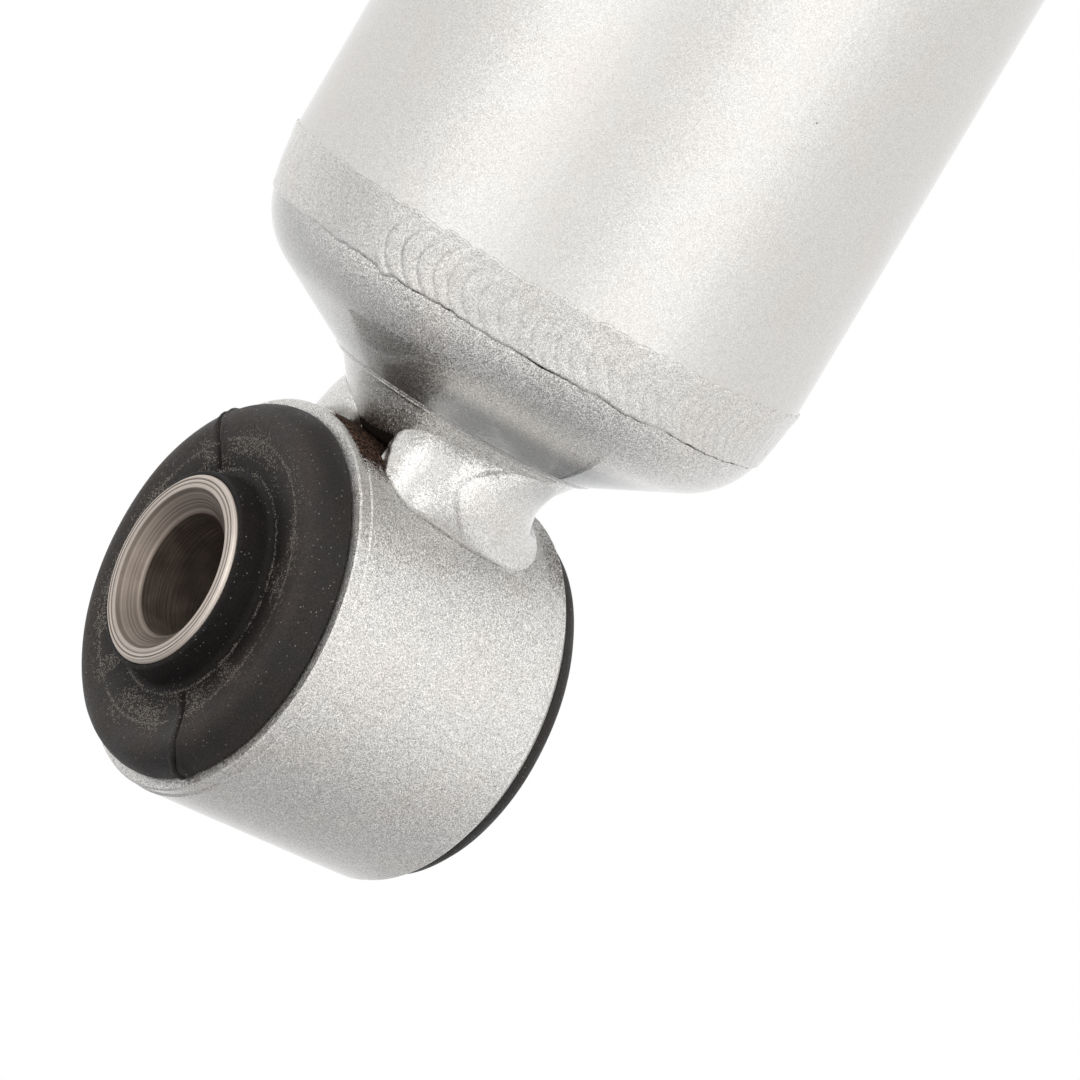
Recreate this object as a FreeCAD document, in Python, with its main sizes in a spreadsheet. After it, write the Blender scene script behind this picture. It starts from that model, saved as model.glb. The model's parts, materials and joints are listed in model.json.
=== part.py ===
import FreeCAD, Part
import os

import Sketcher

# Gas shock absorber with one tube, a floating piston between gas and oil,
# and an eye with a rubber bush at each end.
# Origin at the centre of the lower eye, Z along the rod, Y along the bores of both eyes.
# The rod is drawn fully out, with the rebound bumper against the rod guide.

# Driving dimensions in millimetres and degrees
SIZES = {
    # Eye rings
    "eye_ring_outer_diameter": 36.4,
    "eye_ring_wall": 3.0,
    "eye_ring_near_reach": 12.0,
    "eye_ring_far_reach": 12.2,
    "eye_ring_chamfer": 0.15,
    "eye_ring_lip_width": 1.1,
    "eye_ring_lip_depth": 0.15,
    # Steel sleeves in the eyes
    "sleeve_outer_diameter": 17.3,
    "sleeve_bore_diameter": 11.2,
    "sleeve_length": 36.0,
    "sleeve_chamfer": 0.3,
    "sleeve_face_width": 1.25,
    "sleeve_countersink_depth": 1.55,
    "sleeve_clearance": 0.05,
    # Rubber bushes
    "bush_flange_inset": 1.1,
    "bush_near_flange_thickness": 3.4,
    "bush_near_flange_rounding": 2.6,
    "bush_far_flange_thickness": 2.2,
    "bush_far_flange_rounding": 1.6,
    "bush_crest_land": 0.2,
    "bush_dish_depth": 0.7,
    "bush_collar_wall": 0.45,
    "bush_collar_flare": 0.45,
    "bush_collar_setback": 0.4,
    "bush_collar_rounding": 0.3,
    # Pressed base
    "base_boss_diameter": 23.7,
    "base_boss_foot_diameter": 16.7,
    "base_boss_height": 4.64,
    "base_boss_fillet": 0.9,
    "base_boss_foot_rounding": 0.8,
    "base_cone_angle": 28.0,
    "base_cup_inset": 0.6,
    "base_shoulder_radius": 8.0,
    "base_seat_land": 0.68,
    "base_floor_thickness": 8.0,
    "base_wall": 2.8,
    "base_skirt_height": 8.0,
    # Welds
    "base_weld_width": 6.4,
    "base_weld_crown": 0.45,
    "base_weld_toe_step": 0.4,
    "base_weld_rounding": 2.0,
    "eye_weld_inset": 3.15,
    "eye_weld_radius": 4.0,
    "eye_weld_half_angle": 36.0,
    "eye_weld_drop": 0.3,
    "rod_weld_leg": 3.2,
    "rod_weld_toe": 0.6,
    # Tube
    "tube_outer_diameter": 50.0,
    "tube_wall": 2.0,
    "tube_lip_width": 5.5,
    "tube_lip_bend": 3.6,
    "tube_lip_edge": 0.8,
    "press_clearance": 0.02,
    # Travel and gas room
    "stroke": 150.0,
    "gas_reserve_length": 24.0,
    "piston_gap": 4.0,
    "rebound_clearance": 0.3,
    "bump_clearance": 20.0,
    # Floating piston
    "floating_piston_length": 18.0,
    "floating_piston_floor": 6.0,
    "floating_piston_wall": 5.0,
    "floating_piston_clearance": 0.1,
    "floating_piston_chamfer": 0.8,
    "floating_seal_section": 3.5,
    "floating_seal_clearance": 0.05,
    "floating_seal_groove_width": 4.2,
    # Damping piston and valve discs
    "piston_length": 18.0,
    "piston_clearance": 0.6,
    "piston_chamfer": 0.6,
    "piston_band_width": 9.0,
    "piston_band_thickness": 1.8,
    "piston_band_clearance": 0.05,
    "piston_band_side_clearance": 0.3,
    "piston_band_split": 4.0,
    "port_diameter": 3.6,
    "port_count": 6,
    "port_inlet_inset": 3.5,
    "port_outlet_cover": 3.5,
    "shim_thickness": 0.3,
    "shim_edge_inset": 6.0,
    "shim_diameter_step": 3.0,
    "compression_shim_count": 4,
    "rebound_shim_count": 5,
    "backing_washer_diameter": 19.0,
    "backing_washer_thickness": 3.0,
    "piston_nut_across_flats": 17.0,
    "piston_nut_height": 10.0,
    # Rod and what it carries
    "rod_diameter": 14.0,
    "rod_spigot_diameter": 10.0,
    "rod_end_projection": 2.0,
    "rod_end_chamfer": 0.8,
    "stop_spacing": 8.0,
    "rebound_stop_height": 6.0,
    "rebound_stop_wall": 5.0,
    "stop_groove_width": 3.0,
    "stop_groove_depth": 1.2,
    "rebound_bumper_height": 9.0,
    "rebound_bumper_wall": 6.3,
    "rebound_bumper_rounding": 2.5,
    "rebound_bumper_clearance": 0.2,
    # Rod guide and seals
    "snap_ring_wire": 2.4,
    "snap_ring_groove_depth": 0.8,
    "guide_length": 20.0,
    "guide_chamfer": 0.3,
    "guide_bush_wall": 1.5,
    "guide_bush_length": 12.0,
    "guide_bush_clearance": 0.04,
    "guide_bush_inset": 2.0,
    "guide_relief_clearance": 0.5,
    "guide_seal_section": 2.6,
    "guide_seal_groove_width": 3.2,
    "rod_seal_height": 8.0,
    "rod_seal_lip_clearance": 0.05,
    "rod_seal_lip_width": 2.2,
    "rod_seal_groove_width": 2.0,
    "rod_seal_groove_depth": 4.0,
    "end_washer_thickness": 3.0,
    "rod_wiper_wall": 5.4,
    "rod_wiper_height": 7.5,
    "rod_wiper_tip_width": 1.4,
    "rod_wiper_clearance": 0.05,
}

doc = FreeCAD.newDocument("gas_shock_absorber")
sheet = doc.addObject("Spreadsheet::Sheet", "sizes")
for row, (name, value) in enumerate(SIZES.items(), start=1):
    sheet.set(f"A{row}", name)
    sheet.set(f"B{row}", str(value))
    sheet.setAlias(f"B{row}", name)
doc.recompute()

pieces = []
EDGE_TOLERANCE = 1e-4
LEAST_CUT_VOLUME = 1


def half(name):
    return f"(sizes.{name} / 2)"


def total(*lengths):
    return "(" + " + ".join(lengths) + ")"


def less(length, *cuts):
    return "(" + " - ".join((length,) + cuts) + ")"


def evaluate(expression):
    return float(sheet.evalExpression(expression))


# Radii and heights that several pieces share, each an expression of the driving dimensions
EYE_RADIUS = half("eye_ring_outer_diameter")
EYE_INNER_RADIUS = less(EYE_RADIUS, "sizes.eye_ring_wall")
EYE_LENGTH = total("sizes.eye_ring_near_reach", "sizes.eye_ring_far_reach")
SLEEVE_RADIUS = half("sleeve_outer_diameter")
TUBE_RADIUS = half("tube_outer_diameter")
BORE_RADIUS = less(TUBE_RADIUS, "sizes.tube_wall")
PRESSED_RADIUS = less(BORE_RADIUS, "sizes.press_clearance")
ROD_RADIUS = half("rod_diameter")
SPIGOT_RADIUS = half("rod_spigot_diameter")
BOSS_RADIUS = half("base_boss_diameter")
BOSS_FOOT_RADIUS = half("base_boss_foot_diameter")
CUP_RADIUS = less(TUBE_RADIUS, "sizes.base_cup_inset")
SHIM_RADIUS = less(BORE_RADIUS, "sizes.shim_edge_inset")
WIPER_RADIUS = total(ROD_RADIUS, "sizes.rod_wiper_clearance", "sizes.rod_wiper_wall")

# Heights in the base, above the foot of its boss
CONE_RISE = f"(({CUP_RADIUS} - {BOSS_RADIUS}) * tan(sizes.base_cone_angle))"
CUP_CORNER = total("sizes.base_boss_height", CONE_RISE)
SHOULDER_RISE = "(sizes.base_shoulder_radius * tan((90 - sizes.base_cone_angle) / 2))"
CUP_SEAT = total(CUP_CORNER, SHOULDER_RISE, "sizes.base_seat_land")
CUP_RIM = total(CUP_SEAT, "sizes.base_skirt_height")

# Heights of the stack inside the tube, from the lower eye upwards
TUBE_FOOT = total(EYE_RADIUS, CUP_SEAT)
FLOATING_LOWEST = total(EYE_RADIUS, CUP_RIM, "sizes.gas_reserve_length")
FLOATING_TRAVEL = f"(sizes.stroke * ({ROD_RADIUS} / {BORE_RADIUS}) ^ 2)"
FLOATING_FOOT = total(FLOATING_LOWEST, FLOATING_TRAVEL)
ROD_END = total(FLOATING_LOWEST, "sizes.floating_piston_length", "sizes.piston_gap", "sizes.stroke")
NUT_FOOT = total(ROD_END, "sizes.rod_end_projection")
REBOUND_WASHER_FOOT = total(NUT_FOOT, "sizes.piston_nut_height")
REBOUND_SHIM_FOOT = total(REBOUND_WASHER_FOOT, "sizes.backing_washer_thickness")
REBOUND_STACK = "(sizes.rebound_shim_count * sizes.shim_thickness)"
PISTON_FOOT = total(REBOUND_SHIM_FOOT, REBOUND_STACK)
COMPRESSION_SHIM_FOOT = total(PISTON_FOOT, "sizes.piston_length")
COMPRESSION_STACK = "(sizes.compression_shim_count * sizes.shim_thickness)"
COMPRESSION_WASHER_FOOT = total(COMPRESSION_SHIM_FOOT, COMPRESSION_STACK)
ROD_SHOULDER = total(COMPRESSION_WASHER_FOOT, "sizes.backing_washer_thickness")
STOP_FOOT = total(ROD_SHOULDER, "sizes.stop_spacing")
BUMPER_FOOT = total(STOP_FOOT, "sizes.rebound_stop_height")
GUIDE_FOOT = total(BUMPER_FOOT, "sizes.rebound_bumper_height", "sizes.rebound_clearance")
SEAL_FOOT = total(GUIDE_FOOT, "sizes.guide_length")
WASHER_FOOT = total(SEAL_FOOT, "sizes.rod_seal_height")
LIP_FOOT = total(WASHER_FOOT, "sizes.end_washer_thickness")
TUBE_TOP = total(LIP_FOOT, "sizes.tube_wall")
UPPER_EYE = total(TUBE_TOP, "sizes.stroke", "sizes.bump_clearance", EYE_RADIUS)
LOWER_EYE = "0"


def mirrored_outline(points, length):
    """An outline drawn for the near end, repeated back to front for the far end."""
    return points + [(radius, less(length, height)) for radius, height in reversed(points)]


def origin_part(body, role):
    return next(item for item in body.Origin.OriginFeatures if item.Role == role)


def new_sketch(body, name, role):
    sketch = body.newObject("Sketcher::SketchObject", name)
    sketch.AttachmentSupport = [(origin_part(body, role), "")]
    sketch.MapMode = "FlatFace"
    return sketch


def bind(sketch, constraint, expression):
    index = sketch.addConstraint(constraint)
    sketch.setExpression(f"Constraints[{index}]", expression)


def fix_point(sketch, line, end, across, up):
    """Tie one end of a line to two lengths from the origin, or to an axis where the length is zero."""
    if across == "0":
        sketch.addConstraint(Sketcher.Constraint("PointOnObject", line, end, -2))
    else:
        bind(sketch, Sketcher.Constraint("DistanceX", -1, 1, line, end, evaluate(across)), across)
    if up == "0":
        sketch.addConstraint(Sketcher.Constraint("PointOnObject", line, end, -1))
    else:
        bind(sketch, Sketcher.Constraint("DistanceY", -1, 1, line, end, evaluate(up)), up)


def outline_sketch(body, name, outline):
    """Closed outline of straight lines in the XZ plane, each corner given as a radius and a height."""
    sketch = new_sketch(body, name, "XZ_Plane")
    corners = [FreeCAD.Vector(evaluate(across), evaluate(up), 0) for across, up in outline]
    count = len(corners)
    for index in range(count):
        sketch.addGeometry(Part.LineSegment(corners[index], corners[(index + 1) % count]), False)
    for index in range(count):
        sketch.addConstraint(Sketcher.Constraint("Coincident", index, 2, (index + 1) % count, 1))
    for index, (across, up) in enumerate(outline):
        fix_point(sketch, index, 1, across, up)
    return sketch


def turned_body(label, outline, angle="360"):
    """Body turned from an outline about its own Z axis."""
    body = doc.addObject("PartDesign::Body", label)
    sketch = outline_sketch(body, label + "_outline", outline)
    turned = body.newObject("PartDesign::Revolution", label + "_turned")
    turned.Profile = sketch
    turned.ReferenceAxis = (sketch, ["V_Axis"])
    turned.setExpression("Angle", angle)
    sketch.Visibility = False
    doc.recompute()
    return body


def ring_edges(feature, rings):
    """Names of the circular edges that lie at the given radii and heights."""
    wanted = [(evaluate(radius), evaluate(height)) for radius, height in rings]
    names = []
    for index, edge in enumerate(feature.Shape.Edges, start=1):
        if not isinstance(edge.Curve, Part.Circle):
            continue
        for radius, height in wanted:
            same_radius = abs(edge.Curve.Radius - radius) < EDGE_TOLERANCE
            same_height = abs(edge.Curve.Center.z - height) < EDGE_TOLERANCE
            if same_radius and same_height:
                names.append(f"Edge{index}")
    if len(names) != len(wanted):
        raise RuntimeError(f"{feature.Name}: {len(names)} of {len(wanted)} edges found")
    return names


def round_rings(body, name, radius, rings):
    feature = body.Tip
    fillet = body.newObject("PartDesign::Fillet", name)
    fillet.Base = (feature, ring_edges(feature, rings))
    fillet.setExpression("Radius", radius)
    doc.recompute()


def cut_cross_cylinder(body, name, height, radius):
    """Cut away a cylinder that crosses the body along Y at a given height."""
    before = body.Shape.Volume
    sketch = new_sketch(body, name + "_circle", "XZ_Plane")
    centre = FreeCAD.Vector(0, evaluate(height), 0)
    sketch.addGeometry(Part.Circle(centre, FreeCAD.Vector(0, 0, 1), evaluate(radius)), False)
    sketch.addConstraint(Sketcher.Constraint("PointOnObject", 0, 3, -2))
    bind(sketch, Sketcher.Constraint("DistanceY", -1, 1, 0, 3, evaluate(height)), height)
    bind(sketch, Sketcher.Constraint("Radius", 0, evaluate(radius)), radius)
    pocket = body.newObject("PartDesign::Pocket", name)
    pocket.Profile = sketch
    pocket.SideType = "Symmetric"
    pocket.setExpression("Length", f"({radius} * 4)")
    sketch.Visibility = False
    doc.recompute()
    if body.Shape.Volume > before - LEAST_CUT_VOLUME:
        raise RuntimeError(f"{name} cuts nothing")


def finish(piece, label, height, near_reach=None):
    """Name a piece and put it at its height, or lay its axis along Y from the end nearest the viewer."""
    piece.Label = label
    if near_reach:
        piece.Placement = FreeCAD.Placement(FreeCAD.Vector(), FreeCAD.Rotation(FreeCAD.Vector(1, 0, 0), -90))
        piece.setExpression("Placement.Base.y", f"(0 - {near_reach})")
    piece.setExpression("Placement.Base.z", height)
    pieces.append(piece)
    return piece


def disc_ring(name, outer, inner, thickness, height):
    """Flat ring made of two cylinders, standing at a height."""
    disc = doc.addObject("Part::Cylinder", name + "_disc")
    disc.setExpression("Radius", outer)
    disc.setExpression("Height", thickness)
    hole = doc.addObject("Part::Cylinder", name + "_hole")
    hole.setExpression("Radius", inner)
    hole.setExpression("Height", thickness)
    ring = doc.addObject("Part::Cut", name)
    ring.Base = disc
    ring.Tool = hole
    ring.setExpression("Placement.Base.z", height)
    return ring


def round_ring(label, section, middle_radius, height):
    """Ring of round wire or cord."""
    ring = doc.addObject("Part::Torus", label)
    ring.setExpression("Radius1", middle_radius)
    ring.setExpression("Radius2", f"(sizes.{section} / 2)")
    return finish(ring, label, height)


# Eyes: ring, rubber bush and sleeve, the same at both ends
def eye_ring(label, eye_height):
    lip = less(EYE_RADIUS, "sizes.eye_ring_lip_depth")
    near_end = [
        (EYE_INNER_RADIUS, "0"),
        (less(lip, "sizes.eye_ring_chamfer"), "0"),
        (lip, "sizes.eye_ring_chamfer"),
        (lip, "sizes.eye_ring_lip_width"),
        (EYE_RADIUS, "(sizes.eye_ring_lip_width + sizes.eye_ring_lip_depth)"),
    ]
    body = turned_body(label, mirrored_outline(near_end, EYE_LENGTH))
    return finish(body, label, eye_height, "sizes.eye_ring_near_reach")


def bush_end(collar_length, thickness, rounding, bore):
    """Half outline of a bush, from its collar to the ring, with the two corners that get rounded."""
    collar = total(bore, "sizes.bush_collar_wall")
    collar_root = total(collar, "sizes.bush_collar_flare")
    flange = less(EYE_RADIUS, "sizes.bush_flange_inset")
    crest = less(flange, rounding, "sizes.bush_crest_land")
    face = less(collar_length, thickness)
    root = total(face, "sizes.bush_dish_depth")
    outline = [
        (bore, "0"),
        (collar, "0"),
        (collar_root, root),
        (crest, face),
        (flange, face),
        (flange, collar_length),
        (EYE_INNER_RADIUS, collar_length),
    ]
    return outline, (flange, face), (collar, "0")


def bush_rubber(label, eye_height):
    """Bush pressed in from the near side, so that its far flange is the thinner one."""
    reach = less(half("sleeve_length"), "sizes.bush_collar_setback")
    length = f"({reach} * 2)"
    bore = total(SLEEVE_RADIUS, "sizes.sleeve_clearance")
    near_rounding = "sizes.bush_near_flange_rounding"
    far_rounding = "sizes.bush_far_flange_rounding"
    near_collar = less(reach, "sizes.eye_ring_near_reach")
    far_collar = less(reach, "sizes.eye_ring_far_reach")
    near, near_rim, near_edge = bush_end(near_collar, "sizes.bush_near_flange_thickness", near_rounding, bore)
    far, far_rim, far_edge = bush_end(far_collar, "sizes.bush_far_flange_thickness", far_rounding, bore)

    def from_far_end(point):
        return (point[0], less(length, point[1]))

    body = turned_body(label, near + [from_far_end(point) for point in reversed(far)])
    round_rings(body, label + "_near_rim", near_rounding, [near_rim])
    round_rings(body, label + "_far_rim", far_rounding, [from_far_end(far_rim)])
    round_rings(body, label + "_collars", "sizes.bush_collar_rounding", [near_edge, from_far_end(far_edge)])
    return finish(body, label, eye_height, reach)


def bush_sleeve(label, eye_height):
    near_end = [
        (half("sleeve_bore_diameter"), "sizes.sleeve_countersink_depth"),
        (less(SLEEVE_RADIUS, "sizes.sleeve_face_width"), "0"),
        (less(SLEEVE_RADIUS, "sizes.sleeve_chamfer"), "0"),
        (SLEEVE_RADIUS, "sizes.sleeve_chamfer"),
    ]
    body = turned_body(label, mirrored_outline(near_end, "sizes.sleeve_length"))
    return finish(body, label, eye_height, half("sleeve_length"))


# Closed lower end of the tube
def base_cup():
    label = "base_cup"
    skirt = PRESSED_RADIUS
    inside = less(skirt, "sizes.base_wall")
    inner_rise = f"(({inside} - {BOSS_RADIUS}) * tan(sizes.base_cone_angle))"
    outline = [
        ("0", "0"),
        (BOSS_FOOT_RADIUS, "0"),
        (BOSS_RADIUS, "sizes.base_boss_height"),
        (CUP_RADIUS, CUP_CORNER),
        (CUP_RADIUS, CUP_SEAT),
        (skirt, CUP_SEAT),
        (skirt, CUP_RIM),
        (inside, CUP_RIM),
        (inside, total("sizes.base_floor_thickness", inner_rise)),
        (BOSS_RADIUS, "sizes.base_floor_thickness"),
        ("0", "sizes.base_floor_thickness"),
    ]
    body = turned_body(label, outline)
    round_rings(body, label + "_shoulder", "sizes.base_shoulder_radius", [(CUP_RADIUS, CUP_CORNER)])
    neck = [(BOSS_RADIUS, "sizes.base_boss_height")]
    round_rings(body, label + "_neck", "sizes.base_boss_fillet", neck)
    round_rings(body, label + "_foot", "sizes.base_boss_foot_rounding", [(BOSS_FOOT_RADIUS, "0")])
    return finish(body, label, EYE_RADIUS)


def cylinder_tube():
    label = "cylinder_tube"
    length = less(TUBE_TOP, TUBE_FOOT)
    lip = less(TUBE_RADIUS, "sizes.tube_lip_width")
    lip_underside = less(length, "sizes.tube_wall")
    groove = total(BORE_RADIUS, "sizes.snap_ring_groove_depth")
    groove_top = less(GUIDE_FOOT, TUBE_FOOT)
    groove_bottom = less(groove_top, "sizes.snap_ring_wire")
    outline = [
        (BORE_RADIUS, "0"),
        (TUBE_RADIUS, "0"),
        (TUBE_RADIUS, length),
        (lip, length),
        (lip, lip_underside),
        (BORE_RADIUS, lip_underside),
        (BORE_RADIUS, groove_top),
        (groove, groove_top),
        (groove, groove_bottom),
        (BORE_RADIUS, groove_bottom),
    ]
    body = turned_body(label, outline)
    round_rings(body, label + "_bend", "sizes.tube_lip_bend", [(TUBE_RADIUS, length)])
    round_rings(body, label + "_edge", "sizes.tube_lip_edge", [(lip, length)])
    return finish(body, label, TUBE_FOOT)


def base_weld_bead(cup, tube):
    """Weld around the joint of tube and base, cut back to the two faces that it sits on."""
    label = "base_weld_bead"
    half_width = half("base_weld_width")
    below_bend = f"({half_width} - sizes.base_seat_land)"
    shoulder_reach = f"sqrt(sizes.base_shoulder_radius ^ 2 - {below_bend} ^ 2)"
    cup_at_toe = f"({CUP_RADIUS} - sizes.base_shoulder_radius + {shoulder_reach})"
    toe = total(cup_at_toe, "sizes.base_weld_toe_step")
    root = less(cup_at_toe, half("tube_wall"))
    inside_wall = less(TUBE_RADIUS, half("tube_wall"))
    crown = total(TUBE_RADIUS, "sizes.base_weld_crown")
    low_crown = f"({half_width} / 2)"
    high_crown = f"({half_width} * 3 / 2)"
    width = "sizes.base_weld_width"
    outline = [
        (root, "0"),
        (toe, "0"),
        (crown, low_crown),
        (crown, high_crown),
        (TUBE_RADIUS, width),
        (inside_wall, width),
        (inside_wall, half_width),
        (root, half_width),
    ]
    blank = turned_body(label + "_blank", outline)
    crowns = [(crown, low_crown), (crown, high_crown)]
    round_rings(blank, label + "_crown", "sizes.base_weld_rounding", crowns)
    blank.setExpression("Placement.Base.z", less(TUBE_FOOT, half_width))
    on_cup = doc.addObject("Part::Cut", label + "_on_cup")
    on_cup.Base = blank
    on_cup.Tool = cup
    weld = doc.addObject("Part::Cut", label)
    weld.Base = on_cup
    weld.Tool = tube
    weld.Label = label
    pieces.append(weld)
    return weld


def eye_weld_side(name):
    """One bead along the boss: an arc of a torus with round ends."""
    height = less(EYE_RADIUS, "sizes.eye_weld_drop")
    path_radius = less(BOSS_RADIUS, "sizes.eye_weld_inset")
    bead = doc.addObject("Part::Torus", name + "_bead")
    bead.setExpression("Radius1", path_radius)
    bead.setExpression("Radius2", "sizes.eye_weld_radius")
    bead.setExpression("Angle3", "(2 * sizes.eye_weld_half_angle)")
    first_end = -evaluate("sizes.eye_weld_half_angle")
    bead.Placement.Rotation = FreeCAD.Rotation(FreeCAD.Vector(0, 0, 1), first_end)
    bead.setExpression("Placement.Base.z", height)
    shapes = [bead]
    for end, sign in (("near", "-1"), ("far", "1")):
        ball = doc.addObject("Part::Sphere", f"{name}_{end}_end")
        ball.setExpression("Radius", "sizes.eye_weld_radius")
        ball.setExpression("Placement.Base.x", f"{path_radius} * cos(sizes.eye_weld_half_angle)")
        ball.setExpression("Placement.Base.y", f"{sign} * {path_radius} * sin(sizes.eye_weld_half_angle)")
        ball.setExpression("Placement.Base.z", height)
        shapes.append(ball)
    fused = doc.addObject("Part::MultiFuse", name + "_fused")
    fused.Shapes = shapes
    return fused


def lower_eye_weld(cup):
    """Two beads between the boss and the ring, cut back to both."""
    label = "lower_eye_weld"
    blank = eye_weld_side(label + "_blank")
    eye = doc.addObject("Part::Cylinder", label + "_eye")
    eye.setExpression("Radius", EYE_RADIUS)
    eye.setExpression("Height", f"({EYE_LENGTH} * 2)")
    eye.Placement.Rotation = FreeCAD.Rotation(FreeCAD.Vector(1, 0, 0), -90)
    eye.setExpression("Placement.Base.y", f"(0 - {EYE_LENGTH})")
    on_ring = doc.addObject("Part::Cut", label + "_on_ring")
    on_ring.Base = blank
    on_ring.Tool = eye
    side = doc.addObject("Part::Cut", label + "_side")
    side.Base = on_ring
    side.Tool = cup
    other = doc.addObject("Part::Mirroring", label + "_other_side")
    other.Source = side
    other.Normal = FreeCAD.Vector(1, 0, 0)
    weld = doc.addObject("Part::Compound", label)
    weld.Links = [side, other]
    weld.Label = label
    pieces.append(weld)
    return weld


# Floating piston
def floating_piston():
    label = "floating_piston"
    outer = less(BORE_RADIUS, "sizes.floating_piston_clearance")
    length = "sizes.floating_piston_length"
    chamfer = "sizes.floating_piston_chamfer"
    seal_reach = less(BORE_RADIUS, "sizes.floating_seal_clearance", "sizes.floating_seal_section")
    groove_bottom = f"(({length} - sizes.floating_seal_groove_width) / 2)"
    groove_top = f"(({length} + sizes.floating_seal_groove_width) / 2)"
    cavity = less(seal_reach, "sizes.floating_piston_wall")
    ceiling = less(length, "sizes.floating_piston_floor")
    outline = [
        ("0", ceiling),
        (cavity, ceiling),
        (cavity, "0"),
        (less(outer, chamfer), "0"),
        (outer, chamfer),
        (outer, groove_bottom),
        (seal_reach, groove_bottom),
        (seal_reach, groove_top),
        (outer, groove_top),
        (outer, less(length, chamfer)),
        (less(outer, chamfer), length),
        ("0", length),
    ]
    finish(turned_body(label, outline), label, FLOATING_FOOT)
    middle = total(seal_reach, half("floating_seal_section"))
    seal_height = total(FLOATING_FOOT, f"({length} / 2)")
    round_ring("floating_piston_seal", "floating_seal_section", middle, seal_height)


# Damping piston: slanted ports, slide band and valve discs
def slanted_ports(body, name, start, end, turn):
    """Ring of round ports that lean from one pitch radius at the foot to another at the top."""
    before = body.Shape.Volume
    lean = f"atan(({end} - {start}) / sizes.piston_length)"
    port = body.newObject("PartDesign::SubtractiveCylinder", name)
    port.setExpression("Radius", half("port_diameter"))
    port.setExpression("Height", "sizes.piston_length * 2")
    overrun = f"(sizes.piston_length / 2 * tan({lean}))"
    axis = FreeCAD.Vector(0, 0, 1)
    around = FreeCAD.Rotation(axis, turn)
    tilt = FreeCAD.Rotation(FreeCAD.Vector(0, 1, 0), evaluate(lean))
    radius = evaluate(less(start, overrun))
    foot = around.multVec(FreeCAD.Vector(radius, 0, -evaluate("sizes.piston_length / 2")))
    port.Placement = FreeCAD.Placement(foot, around * tilt)
    doc.recompute()
    ring = body.newObject("PartDesign::PolarPattern", name + "_ring")
    ring.Originals = [port]
    ring.Axis = (origin_part(body, "Z_Axis"), [""])
    ring.Angle = 360
    ring.setExpression("Occurrences", "sizes.port_count")
    body.Tip = ring
    doc.recompute()
    if body.Shape.Volume > before - LEAST_CUT_VOLUME:
        raise RuntimeError(f"{name} cuts nothing")


def piston():
    label = "piston"
    outer = less(BORE_RADIUS, "sizes.piston_clearance")
    length = "sizes.piston_length"
    chamfer = "sizes.piston_chamfer"
    band_outer = less(BORE_RADIUS, "sizes.piston_band_clearance")
    band_inner = less(band_outer, "sizes.piston_band_thickness")
    groove = less(band_inner, "sizes.piston_band_clearance")
    groove_width = total("sizes.piston_band_width", "sizes.piston_band_side_clearance")
    groove_bottom = f"(({length} - {groove_width}) / 2)"
    groove_top = f"(({length} + {groove_width}) / 2)"
    outline = [
        (SPIGOT_RADIUS, "0"),
        (less(outer, chamfer), "0"),
        (outer, chamfer),
        (outer, groove_bottom),
        (groove, groove_bottom),
        (groove, groove_top),
        (outer, groove_top),
        (outer, less(length, chamfer)),
        (less(outer, chamfer), length),
        (SPIGOT_RADIUS, length),
    ]
    body = turned_body(label, outline)
    half_pitch = 180 / evaluate("sizes.port_count")
    inlet = less(BORE_RADIUS, "sizes.port_inlet_inset")
    outlet = less(SHIM_RADIUS, "sizes.port_outlet_cover")
    slanted_ports(body, "compression_ports", inlet, outlet, 0)
    slanted_ports(body, "rebound_ports", outlet, inlet, half_pitch)
    finish(body, label, PISTON_FOOT)

    width = "sizes.piston_band_width"
    band_outline = [(band_inner, "0"), (band_outer, "0"), (band_outer, width), (band_inner, width)]
    band = turned_body("piston_band", band_outline, "360 - sizes.piston_band_split")
    band_foot = f"({PISTON_FOOT} + ({length} - {width}) / 2)"
    finish(band, "piston_band", band_foot)


def shim_stack(label, count, foot, widest_on_top):
    """Stack of thin valve discs that grow towards the piston."""
    number = int(evaluate(f"sizes.{count}"))
    discs = []
    for index in range(number):
        steps_from_piston = number - 1 - index if widest_on_top else index
        outer = f"({SHIM_RADIUS} - {steps_from_piston} * sizes.shim_diameter_step / 2)"
        height = f"({foot} + {index} * sizes.shim_thickness)"
        discs.append(disc_ring(f"{label}_{index + 1}", outer, SPIGOT_RADIUS, "sizes.shim_thickness", height))
    stack = doc.addObject("Part::Compound", label)
    stack.Links = discs
    stack.Label = label
    pieces.append(stack)


def backing_washer(label, foot):
    thickness = "sizes.backing_washer_thickness"
    washer = disc_ring(label, half("backing_washer_diameter"), SPIGOT_RADIUS, thickness, foot)
    finish(washer, label, foot)


def piston_nut():
    """Hexagon nut with its lower corners turned off."""
    label = "piston_nut"
    height = "sizes.piston_nut_height"
    flat = half("piston_nut_across_flats")
    hexagon = doc.addObject("Part::Prism", label + "_hexagon")
    hexagon.Polygon = 6
    hexagon.setExpression("Circumradius", f"({flat} / cos(30))")
    hexagon.setExpression("Height", height)
    turned = doc.addObject("Part::Cone", label + "_turned")
    turned.setExpression("Radius1", flat)
    turned.setExpression("Radius2", f"({flat} + {height} / tan(30))")
    turned.setExpression("Height", height)
    cornered = doc.addObject("Part::Common", label + "_cornered")
    cornered.Base = hexagon
    cornered.Tool = turned
    hole = doc.addObject("Part::Cylinder", label + "_hole")
    hole.setExpression("Radius", SPIGOT_RADIUS)
    hole.setExpression("Height", height)
    nut = doc.addObject("Part::Cut", label)
    nut.Base = cornered
    nut.Tool = hole
    finish(nut, label, NUT_FOOT)


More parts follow.
